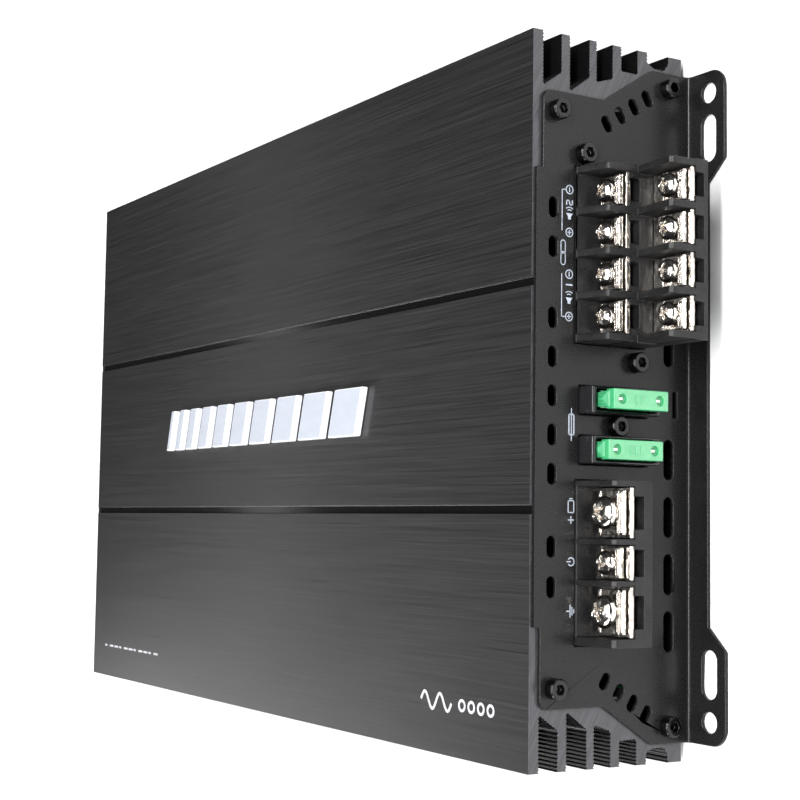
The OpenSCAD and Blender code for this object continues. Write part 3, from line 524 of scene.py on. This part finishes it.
def finished_clamp(node):
    """A square clamp with four ribs raised across its face."""
    low, high = box_mm(node)
    middle = (low + high) / 2
    shape = clean_copy(node)
    for v in shape.verts:
        if v.co.z > middle.z * MM:
            v.co.z -= CLAMP_RISE * MM
    reach = (high.y - low.y) / 2 - 0.5
    for share in RIB_PLACES:
        x = middle.x + share * (high.x - low.x - 0.5) / 2
        add_box(shape, (x - RIB_HALF_WIDTH, middle.y - reach, high.z - CLAMP_RISE - 0.3),
                (x + RIB_HALF_WIDTH, middle.y + reach, high.z))
    piece = new_object(node + "_finished", shape, FINISHES[SLOT_OF[node]])
    bevel(piece, 0.13, 3)
    attach(piece, BODY_OF[node], node, slot=SLOT_OF[node])


def finished_terminal_screw(node, thread_radius, pitch):
    """A domed head with a crossed recess, a spring washer under it and a shank with a thread cut round it."""
    low, high = box_mm(node)
    centre = ((low.x + high.x) / 2, (low.y + high.y) / 2)
    radius = (high.x - low.x) / 2
    height = BIG_HEAD_HEIGHT if radius > BIG_HEAD_RADIUS else SMALL_HEAD_HEIGHT
    seat = high.z - height
    rim = seat + 0.22 * height
    arc = [math.radians(6 * k) for k in range(15)]
    dome = [(radius * math.cos(t), rim + (high.z - rim) * math.sin(t)) for t in arc]
    shape = bmesh.new()
    foot = [(0, seat), (radius * 0.94, seat), (radius, seat + 0.2)]
    add_lathe(shape, foot + dome + [(0, high.z)], centre, 48)
    piece = new_object(node + "_finished", shape, FINISHES[SLOT_OF[node]])
    carve(piece, crossed_recess(centre, radius, high.z, 0.6 * height, int(node[-1]) * 37))
    bevel(piece, 0.13, 3)
    whole = bmesh.new()
    whole.from_mesh(piece.data)
    washer_low = seat - WASHER_SHARE * radius
    add_ring(whole, centre, thread_radius - 0.1, 0.84 * radius, washer_low, seat + 0.02)
    shank = threaded_outline(low.z, washer_low, thread_radius, pitch)
    add_lathe(whole, shank + [(0, seat + 0.3)], centre)
    bmesh.ops.recalc_face_normals(whole, faces=whole.faces)
    whole.to_mesh(piece.data)
    whole.free()
    smooth(piece, 50)
    attach(piece, BODY_OF[node], node, slot=SLOT_OF[node])


def crossed_recess(centre, radius, top, depth, angle):
    """The shape cut from a screw's head: two crossing slots, wider at the top."""
    cutter = bmesh.new()
    for turn in (angle, angle + 90):
        made = add_box(cutter, (-RECESS_LENGTH * radius, -RECESS_WIDTH * radius, -depth),
                       (RECESS_LENGTH * radius, RECESS_WIDTH * radius, 1))
        for v in made["verts"]:
            if v.co.z < 0:
                v.co.x *= 0.55
                v.co.y *= 0.5
        place = Matrix.Translation(mm(*centre, top)) @ Matrix.Rotation(math.radians(turn), 4, "Z")
        bmesh.ops.transform(cutter, matrix=place, verts=made["verts"])
    return cutter


def threaded_outline(low, high, radius, pitch):
    """The outline of a threaded shank from its chamfered tip up to high, for add_lathe."""
    outline = [(0, low), (radius * 0.72, low)]
    height = low + 0.35
    while height < high - pitch:
        root = radius * THREAD_ROOT
        outline += [(radius, height), (radius, height + pitch * 0.15), (root, height + pitch * 0.5),
                    (root, height + pitch * 0.65)]
        height += pitch
    return outline + [(radius, height), (radius, high + 0.3)]


# ---- Fuses ----

FUSE_BODY_DEPTH = 12.5
FUSE_BLADES = ((5.1, 0.65, 7.3), 10.9)
TEST_POINT = (6.2, 1.4, 1.1)


def finished_fuse(node):
    """A blade fuse: head with two test recesses and raised bars, stepped tongue, narrow body, two blades."""
    low, high = box_mm(node)
    middle, out_x = (low + high) / 2, high.x
    half_t = (high.y - low.y) / 2
    relief = 0.18
    apart, radius, deep = TEST_POINT
    shape = bmesh.new()

    def block(depth, half, z, target=shape):
        """A box between two depths behind the head's face and between two heights."""
        add_box(target, (out_x - depth[1], middle.y - half, z[0]), (out_x - depth[0], middle.y + half, z[1]))

    block((relief, 3.3), half_t, (low.z, high.z - 1.0))
    block((2.0, 5.2), half_t * 0.78, (low.z + 0.5, high.z - 0.5))
    block((2.6, 5.2), half_t * 0.5, (low.z + 2, high.z - 0.2))
    block((3.2, 5.2), half_t * 0.25, (low.z + 2, high.z))
    block((3.0, FUSE_BODY_DEPTH - 0.1), 1.88, (middle.z - 8.6, middle.z + 8.6))
    piece = new_object(node + "_finished", shape, FINISHES["green_fuse_plastic"])
    cutter = bmesh.new()
    for side in (-1, 1):
        centre = Vector((out_x - 0.5 * deep, middle.y, middle.z - 0.5 + side * apart))
        turn = Matrix.Translation(mm(*centre)) @ Matrix.Rotation(math.pi / 2, 4, "Y")
        bmesh.ops.create_cone(cutter, cap_ends=True, segments=28, radius1=radius * MM,
                              radius2=radius * 0.85 * MM, depth=(deep + 0.4) * MM, matrix=turn)
    carve(piece, cutter)
    bevel(piece, 0.28, 3)
    attach(piece, BODY_OF[node], node, slot="green_fuse_plastic")
    bars = bmesh.new()
    for k in (-1, 0, 1):
        z = middle.z - 0.5 + k * 1.7
        block((0, relief + 0.4), 1.1, (z - 0.34, z + 0.34), bars)
    raised = new_object(node + "_bars", bars, FINISHES["green_fuse_plastic"])
    bevel(raised, 0.12, 3)
    attach(raised, BODY_OF[node], slot="green_fuse_plastic")
    metal = bmesh.new()
    (blade_w, blade_t, blade_l), pitch = FUSE_BLADES
    for side in (-1, 1):
        z = middle.z + side * pitch / 2
        block((FUSE_BODY_DEPTH - 1, FUSE_BODY_DEPTH + blade_l), blade_t / 2,
              (z - blade_w / 2, z + blade_w / 2), metal)
        z = middle.z - 0.5 + side * apart + 0.3
        block((deep * 0.6, deep + 0.4), 0.38, (z - 0.75, z + 0.75), metal)
    blades = new_object(node + "_blades", metal, BARE_METAL)
    bevel(blades, 0.1, 2)
    attach(blades, BODY_OF[node], slot="green_fuse_plastic")


# ---- Inside ----

CORE_HOLE = 10
CORE_WIRE = 0.62
CAPACITOR_RADIUS = 8
FRONT_CAPACITORS = [(x, -8) for x in (112, 92, 72, 52)]
REAR_CAPACITORS = [(x, y) for x in (-10, -30) for y in (-40, -20)]


def round_a_core(shape, centre, angle, inner, outer, low, high, radius, corner=0.9):
    """One turn of wire round a ring core, at that angle about the core's centre."""
    across = Vector((math.cos(angle), math.sin(angle), 0))
    tilt = Vector((-math.sin(angle), math.cos(angle), 0)) * radius * 0.9
    route = [(outer, low + corner), (outer - corner, low), (inner + corner, low), (inner, low + corner),
             (inner, high - corner), (inner + corner, high), (outer - corner, high), (outer, high - corner)]
    points = []
    for k, (r, z) in enumerate(route + route[:1]):
        shift = tilt * (k / len(route) * 2 - 1)
        points.append(Vector((centre[0], centre[1], z)) + across * r + shift)
    add_tube(shape, points, radius)


def finished_windings():
    """Both transformers' wires, turn by turn, in six groups with gaps between them."""
    node = "transformer_windings"
    low, high = box_mm(node)
    core_low, core_high = box_mm("transformer_cores")
    outer = (core_high.y - core_low.y) / 2
    wire = CORE_WIRE
    shape = bmesh.new()
    for x in (core_low.x + outer, core_high.x - outer):
        for group in range(6):
            for turn in range(6):
                angle = math.radians(group * 60 + 4 + turn * 7.4)
                round_a_core(shape, (x, (low.y + high.y) / 2), angle,
                             CORE_HOLE - wire - 0.1, outer + wire + 0.1,
                             core_low.z - wire - 0.1, core_high.z + wire + 0.1, wire)
    wires = new_object("transformer_wires", shape, FINISHES["enamelled_copper"])
    smooth(wires, 60)
    attach(wires, "chassis", node, slot="enamelled_copper")


def finished_inductors():
    """Four small ring cores, each with a single layer of thick wire."""
    node = "output_inductors"
    low, high = box_mm(node)
    outer, inner, wire = 9, 4, 0.55
    wires, rings = bmesh.new(), bmesh.new()
    for x in (low.x + outer, high.x - outer):
        for y in (low.y + outer, high.y - outer):
            for turn in range(17):
                round_a_core(wires, (x, y), math.radians(20 + turn * 20), inner + wire, outer - wire,
                             low.z + wire, high.z - wire, wire)
            add_ring(rings, (x, y), inner + 2 * wire, outer - 2 * wire, low.z + 2 * wire, high.z - 2 * wire)
    piece = new_object("inductor_wires", wires, FINISHES["enamelled_copper"])
    smooth(piece, 60)
    attach(piece, "chassis", node, slot="enamelled_copper")
    piece = new_object("inductor_cores", rings, FINISHES["ferrite"])
    bevel(piece, 0.4, 3)
    attach(piece, "chassis", slot="ferrite")


def add_ring(shape, centre, inner, outer, low, high, steps=48):
    """A flat-sided ring round a line along Z through centre."""
    corners = ((inner, low), (outer, low), (outer, high), (inner, high))
    loops = [[shape.verts.new(mm(centre[0] + r * math.cos(2 * math.pi * k / steps),
                                 centre[1] + r * math.sin(2 * math.pi * k / steps), z)) for r, z in corners]
             for k in range(steps)]
    for k, loop in enumerate(loops):
        after = loops[(k + 1) % steps]
        for i in range(4):
            shape.faces.new((loop[i], after[i], after[(i + 1) % 4], loop[(i + 1) % 4]))


def capacitor_marks():
    """A pale stripe down each capacitor's side, and the scored cross on its bare top as thin dark strips of
    painted shade.
    """
    low, high = box_mm("filter_capacitors")
    radius = CAPACITOR_RADIUS
    stripes, score_shades = bmesh.new(), bmesh.new()
    for x, y in FRONT_CAPACITORS + REAR_CAPACITORS:
        for k in range(6):
            a, b = (math.radians(66 + 8 * (k + n)) for n in (0, 1))
            corners = [(x + r * math.cos(t), y + r * math.sin(t)) for r, t in
                       ((radius + 0.02, a), (radius + 0.05, a), (radius + 0.05, b), (radius + 0.02, b))]
            add_prism(stripes, corners, low.z + 4.5, high.z - 1.5)
        # The scored cross: thin dark strips laid on the top, painted shade where the score lines are.
        for dx, dy in ((4.2, 0.12), (0.12, 4.2)):
            add_box(score_shades, (x - dx, y - dy, high.z - 0.01), (x + dx, y + dy, high.z + 0.02))
    for name, shape, finish in (("capacitor_stripes", stripes, TOP_INK), ("capacitor_score_shades", score_shades, SCORE_SHADE)):
        attach(new_object(name, shape, finish), "chassis", slot="capacitor_sleeve")


def add_prism(shape, corners, low, high):
    """An upright prism over corners given as (x, y)."""
    bottom = [shape.verts.new(mm(x, y, low)) for x, y in corners]
    top = [shape.verts.new(mm(x, y, high)) for x, y in corners]
    shape.faces.new(bottom)
    shape.faces.new(top[::-1])
    for i in range(len(corners)):
        j = (i + 1) % len(corners)
        shape.faces.new((bottom[j], bottom[i], top[i], top[j]))


def board_chips():
    """Small parts soldered on the open areas of the board: chips with legs, and rows of chip resistors."""
    top = box_mm("circuit_board")[1].z
    bodies, legs = bmesh.new(), bmesh.new()
    for x, y in ((-62, 34), (-62, 8), (-92, 22), (22, 40), (50, 40)):
        add_box(bodies, (x - 5, y - 3.9, top + 0.15), (x + 5, y + 3.9, top + 1.75))
        for k in range(8):
            lx = x - 4.45 + k * 1.27
            for side in (-1, 1):
                a, b = sorted((y + side * 3.6, y + side * 5.3))
                add_box(legs, (lx - 0.2, a, top + 0.02), (lx + 0.2, b, top + 0.32))
    for row_x, row_y in ((-62, 21), (-92, 36), (-92, 8), (36, 30), (36, 52)):
        for k in range(6):
            x = row_x - 7.5 + k * 3
            add_box(bodies, (x - 0.55, row_y - 0.8, top + 0.02), (x + 0.55, row_y + 0.8, top + 0.55))
            for side in (-1, 1):
                a, b = sorted((row_y + side * 0.8, row_y + side * 1.15))
                add_box(legs, (x - 0.55, a, top + 0.02), (x + 0.55, b, top + 0.55))
    piece = new_object("board_chips", bodies, FINISHES["component_black"])
    bevel(piece, 0.1, 2)
    attach(piece, "chassis", slot="component_black")
    piece = new_object("board_chip_legs", legs, FINISHES["zinc_screws"])
    bevel(piece, 0.04, 1)
    attach(piece, "chassis", slot="zinc_screws")


# ---- Printed marks ----


class Print:
    """Thin printed strokes on a flat face. A mark's own axes are right and up on that face."""

    THICK = 0.03

    def __init__(self, name, right, up, out, material):
        self.name, self.material = name, material
        self.right, self.up, self.out = Vector(right), Vector(up), Vector(out)
        self.shape = bmesh.new()

    def at(self, p, origin, lift=0.0):
        """Where a mark's point lies in the frame, in metres."""
        return (origin + self.right * p[0] + self.up * p[1] + self.out * lift) * MM

    def fill(self, points, origin=Vector()):
        """A filled outline, listed anticlockwise."""
        low = [self.shape.verts.new(self.at(p, origin, 0.002)) for p in points]
        high = [self.shape.verts.new(self.at(p, origin, self.THICK)) for p in points]
        self.shape.faces.new(high)
        self.shape.faces.new(low[::-1])
        for i in range(len(points)):
            j = (i + 1) % len(points)
            self.shape.faces.new((low[i], low[j], high[j], high[i]))

    def line(self, a, b, width, origin=Vector()):
        """A stroke with round ends."""
        a, b = Vector(a), Vector(b)
        heading = math.atan2(b.y - a.y, b.x - a.x)
        ends = [(b, heading - math.pi / 2), (a, heading + math.pi / 2)]
        steps = 8
        outline = []
        for c, start in ends:
            for k in range(steps + 1):
                t = start + math.pi * k / steps
                outline.append(c + Vector((math.cos(t), math.sin(t))) * width / 2)
        self.fill([(p.x, p.y) for p in outline], origin)

    def path(self, points, width, origin=Vector()):
        """Straight strokes from point to point."""
        for a, b in zip(points, points[1:]):
            self.line(a, b, width, origin)

    def ribbon(self, points, width, origin=Vector()):
        """A smooth curved stroke along many close points."""
        points = [Vector(p) for p in points]
        sides = []
        for i, p in enumerate(points):
            along = (points[min(i + 1, len(points) - 1)] - points[max(i - 1, 0)]).normalized() * width / 2
            sides.append(((p.x + along.y, p.y - along.x), (p.x - along.y, p.y + along.x)))
        for (a, b), (c, d) in zip(sides, sides[1:]):
            self.fill([a, c, d, b], origin)

    def arc(self, centre, radius, width, origin=Vector(), start=0, end=360, steps=40):
        """A curved stroke made of short flat pieces."""
        angles = [math.radians(start + (end - start) * k / steps) for k in range(steps + 1)]
        for t, u in zip(angles, angles[1:]):
            inner, outer = radius - width / 2, radius + width / 2
            self.fill([(centre[0] + r * math.cos(w), centre[1] + r * math.sin(w))
                       for r, w in ((outer, t), (outer, u), (inner, u), (inner, t))], origin)

    def finish(self, body):
        """Makes the marks one piece that moves with a body."""
        bmesh.ops.recalc_face_normals(self.shape, faces=self.shape.faces)
        attach(new_object(self.name, self.shape, self.material), body)


def stroke_digit(marks, digit, centre, height, width, origin):
    """The number 1 or 2, made of straight strokes."""
    w, h = height * 0.28, height / 2
    corners = {"a": (-w, h), "b": (w, h), "c": (-w, 0), "d": (w, 0), "e": (-w, -h), "f": (w, -h)}
    routes = {"1": "bf", "2": "abdcef"}
    points = [(centre[0] + corners[c][0], centre[1] + corners[c][1]) for c in routes[digit]]
    marks.path(points, width, origin)


def polarity(marks, origin, plus):
    """A ringed plus or minus sign."""
    marks.arc((0, 0), 1.1, 0.26, origin)
    marks.line((-0.55, 0), (0.55, 0), 0.28, origin)
    if plus:
        marks.line((0, -0.55), (0, 0.55), 0.28, origin)


STROKE = 0.34
SPEAKER_UP = 39.3
SUPPLY_UP = 38.3
RAIL_UP = 41.7


def plate_spot(y, up):
    """A place on the terminal plate's outer face."""
    return Vector((FACE_X, y, BASE_Z + up))


def speaker_marks(marks):
    """Polarity signs, the rails that join them, the bridged link, and a loudspeaker for each pair."""
    for y, plus in ((53.7, False), (42.5, True), (31.6, False), (20.6, True)):
        polarity(marks, plate_spot(y, SPEAKER_UP), plus)
    for high, low, plus_end in ((53.6, 42.9, False), (31.5, 20.5, True)):
        marks.line((low, RAIL_UP), (high, RAIL_UP), 0.24, plate_spot(0, 0))
        turn = low if plus_end else high
        marks.path([(turn, RAIL_UP), (turn, 40.6)], 0.24, plate_spot(0, 0))
    # two joined links, for the bridged pair
    for dy in (-1.5, 1.5):
        link = plate_spot(37.1 + dy, 41.3)
        marks.arc((-1.0, 0), 0.7, 0.24, link, 90, 270, 16)
        marks.arc((1.0, 0), 0.7, 0.24, link, -90, 90, 16)
        marks.line((-1.0, 0.7), (1.0, 0.7), 0.24, link)
        marks.line((-1.0, -0.7), (1.0, -0.7), 0.24, link)
    # a loudspeaker and a number for each pair
    for y, digit in ((48.2, "2"), (26.2, "1")):
        here = plate_spot(y, SPEAKER_UP)
        horn = [(-0.7, -1.1), (-0.7, 1.1)]
        marks.fill([(-2.3, -0.45), (-1.6, -0.45)] + horn + [(-1.6, 0.45), (-2.3, 0.45)], here)
        for radius in (0.9, 1.6):
            marks.arc((-0.7, 0), radius, 0.22, here, -42, 42, 8)
        stroke_digit(marks, digit, (2.1, 0), 1.9, STROKE, here)


def supply_marks(marks):
    """Symbols for the fuses, the supply, the remote switch-on and earth."""
    # fuse: a box with the wire running through it
    here = plate_spot(-7.2, SUPPLY_UP)
    marks.path([(-2.6, -0.8), (2.6, -0.8), (2.6, 0.8), (-2.6, 0.8), (-2.6, -0.8)], STROKE, here)
    marks.line((-4.1, 0), (4.1, 0), STROKE * 0.8, here)
    # supply: plus sign and cell
    here = plate_spot(-29.4, SUPPLY_UP)
    marks.line((-3.0, 0), (-1.4, 0), STROKE, here)
    marks.line((-2.2, -0.8), (-2.2, 0.8), STROKE, here)
    marks.path([(-0.3, -0.9), (2.7, -0.9), (2.7, 0.9), (-0.3, 0.9), (-0.3, -0.9)], STROKE * 0.85, here)
    marks.line((3.2, -0.4), (3.2, 0.4), STROKE, here)
    # remote switch-on
    here = plate_spot(-42.2, SUPPLY_UP)
    marks.arc((0, -0.1), 1.0, STROKE * 0.9, here, 125, 415, 28)
    marks.line((0, 0.1), (0, 1.2), STROKE * 0.9, here)
    # earth
    here = plate_spot(-54.7, SUPPLY_UP)
    marks.line((0, 1.15), (0, 0.1), STROKE, here)
    for half, drop in ((1.5, 0.1), (0.95, -0.5), (0.4, -1.1)):
        marks.line((-half, drop), (half, drop), STROKE * 0.85, here)


def terminal_print():
    """Generic symbols beside the terminals."""
    marks = Print("terminal_plate_print", (0, 1, 0), (0, 0, 1), (1, 0, 0), INK)
    speaker_marks(marks)
    supply_marks(marks)
    marks.finish("chassis")


def control_print():
    """Scales round the knobs, simple symbols by the jacks and switches, and rings round the lamps, on the
    control end.
    """
    marks = Print("control_plate_print", (0, -1, 0), (0, 0, 1), (-1, 0, 0), INK)
    w = 0.3
    for i in range(1, 5):
        low, high = box_mm(f"knob_{i}")
        centre = Vector((-FACE_X, (low.y + high.y) / 2, (low.z + high.z) / 2))
        for k in range(11):
            t = math.radians(240 - 30 * k)
            tick = [(r * math.cos(t), r * math.sin(t)) for r in (5.1, 5.8)]
            marks.line(tick[0], tick[1], 0.22, centre)
    for i in (1, 2):
        low, high = box_mm(f"switch_slider_{i}")
        centre = Vector((-FACE_X, (low.y + high.y) / 2, (low.z + high.z) / 2))
        marks.path([(-6.0, -4.0), (-4.6, -4.0), (-3.0, -5.4)], w, centre)
        marks.line((-1.2, -4.2), (1.2, -4.2), w, centre)
        marks.path([(3.0, -5.4), (4.6, -4.0), (6.0, -4.0)], w, centre)
    low, high = box_mm("input_jack_block")
    middle = Vector((-FACE_X, (low.y + high.y) / 2, BASE_Z))
    for dy, digit in ((-7, "1"), (7, "2")):
        stroke_digit(marks, digit, (dy, 41.0), 1.9, w, middle)
    lamp_low, lamp_high = box_mm("indicator_lamps")
    for y in (lamp_low.y + 2, lamp_high.y - 2):
        marks.arc((0, 0), 2.5, 0.2, Vector((-FACE_X, y, lamp_high.z - 2)))
    marks.finish("chassis")


def top_print():
    """A generic wave and four small rings by the terminals, and a fine dashed line at the far end."""
    marks = Print("top_face_print", (1, 0, 0), (0, 1, 0), (0, 0, 1), TOP_INK)
    base = Vector((0, 0, TOP_Z))
    steps = 40
    wave = [(99 + 15 * k / steps, -81 + 2.2 * math.sin(4 * math.pi * k / steps)) for k in range(steps + 1)]
    marks.ribbon(wave, 0.85, base)
    for k in range(4):
        marks.arc((119 + 4.4 * k, -81), 1.35, 0.75, base)
    dash, gap = 3.2, 1.7
    for k in range(11):
        x = -136 + k * (dash + gap)
        marks.line((x, -83), (x + dash * (0.5 + 0.5 * ((k * 7) % 3 > 0)), -83), 0.75, base)
    marks.finish("chassis")


# ---- The nodes ----

make_camera()

finished("heatsink", 0.14, 2)
for node in ("terminal_end_plate", "control_end_plate"):
    finished(node, 0.35, 4, split=False)
finished("bottom_cover", 0.2, 2)
for node in ("terminal_plate_screws", "control_plate_screws", "bottom_cover_screws"):
    finished(node, 0.22, 3, split=False)
finished("emblem", 0.5, 3)
for node in ("speaker_terminal_block", "power_terminal_block"):
    finished(node, 0.25, 3)
for node in ("speaker_terminal_tabs", "power_terminal_tabs"):
    finished(node, 0.2, 3)
for kind, count in (("speaker", 8), ("power", 3)):
    for i in range(1, count + 1):
        big = kind == "power" and i != 2
        finished_terminal_screw(f"{kind}_screw_{i}", 2 if big else 1.5, 0.7 if big else 0.5)
        finished_clamp(f"{kind}_clamp_{i}")
finished("fuse_holder", 0.6, 4)
for node in ("fuse_1", "fuse_2"):
    finished_fuse(node)
for node, width in (("fuse_contacts", 0.15), ("circuit_board", 0.08), ("board_screws", 0.2),
                    ("transformer_cores", 0.8), ("filter_capacitors", 0.25), ("power_transistors", 0.12),
                    ("insulating_strips", 0.06), ("clamp_bars", 0.1), ("clamp_bar_screws", 0.2),
                    ("potentiometer_bodies", 0.15), ("switch_housings", 0.3), ("input_jack_block", 0.3),
                    ("jack_shells", 0.15), ("indicator_lamps", 0.06), ("level_input_socket", 0.2),
                    ("switch_slider_1", 0.2), ("switch_slider_2", 0.2)):
    finished(node, width, 2)
for i in range(1, 5):
    finished(f"knob_{i}", 0.22, 3, split=False)
finished_windings()
finished_inductors()
capacitor_marks()
board_chips()

terminal_print()
control_print()
top_print()


# ---- Studio ----


def make_floor():
    """A plain pale floor under the part."""
    shape = bmesh.new()
    bmesh.ops.create_grid(shape, x_segments=1, y_segments=1, size=6)
    floor = new_object("floor", shape, floor_paper())


def soft_light(name, at, towards, size, power, color=(1, 1, 1)):
    """A rectangular softbox; size is its width and its height in metres."""
    data = bpy.data.lights.new(name, "AREA")
    data.shape = "RECTANGLE"
    data.size, data.size_y = size
    data.energy = power
    data.color = color
    light = bpy.data.objects.new(name, data)
    light.location = at
    light.rotation_euler = (Vector(at) - Vector(towards)).to_track_quat("Z", "Y").to_euler()
    bpy.context.scene.collection.objects.link(light)


def make_studio():
    """A dim, slightly blue surrounding and eight soft lights."""
    world = bpy.data.worlds.new("studio")
    world.use_nodes = True
    world.node_tree.nodes["Background"].inputs["Color"].default_value = (0.93, 0.96, 1.0, 1)
    world.node_tree.nodes["Background"].inputs["Strength"].default_value = 0.04
    bpy.context.scene.world = world
    bpy.context.scene.view_settings.view_transform = "Standard"
    soft_light("overhead", (0.7, 0.1, 1.4), (0.05, 0, 0), (1.5, 1.3), 16)
    soft_light("line", (0.95, 0.0, 1.05), (0.1, 0, 0.03), (1.7, 0.09), 26)
    soft_light("key", (0.95, 0.45, 0.9), (0.15, 0, 0.03), (0.3, 0.3), 5)
    soft_light("band", (-1.0, 0.07, 0.567), (0, 0, 0.05), (0.9, 0.05), 0.17)
    soft_light("low_side", (-0.9, -0.75, 0.55), (-0.05, -0.05, 0.05), (0.8, 0.4), 4.3)
    soft_light("far_side", (-1.0, -0.5, 0.4), (-0.05, -0.05, 0.05), (0.5, 0.14), 1.6)
    soft_light("right_side", (0.2, -1.3, 0.6), (0, 0, 0.05), (1.0, 0.5), 13)
    soft_light("front", (1.3, -0.5, 0.5), (0.15, 0, 0.03), (0.5, 0.7), 2)


make_floor()
make_studio()
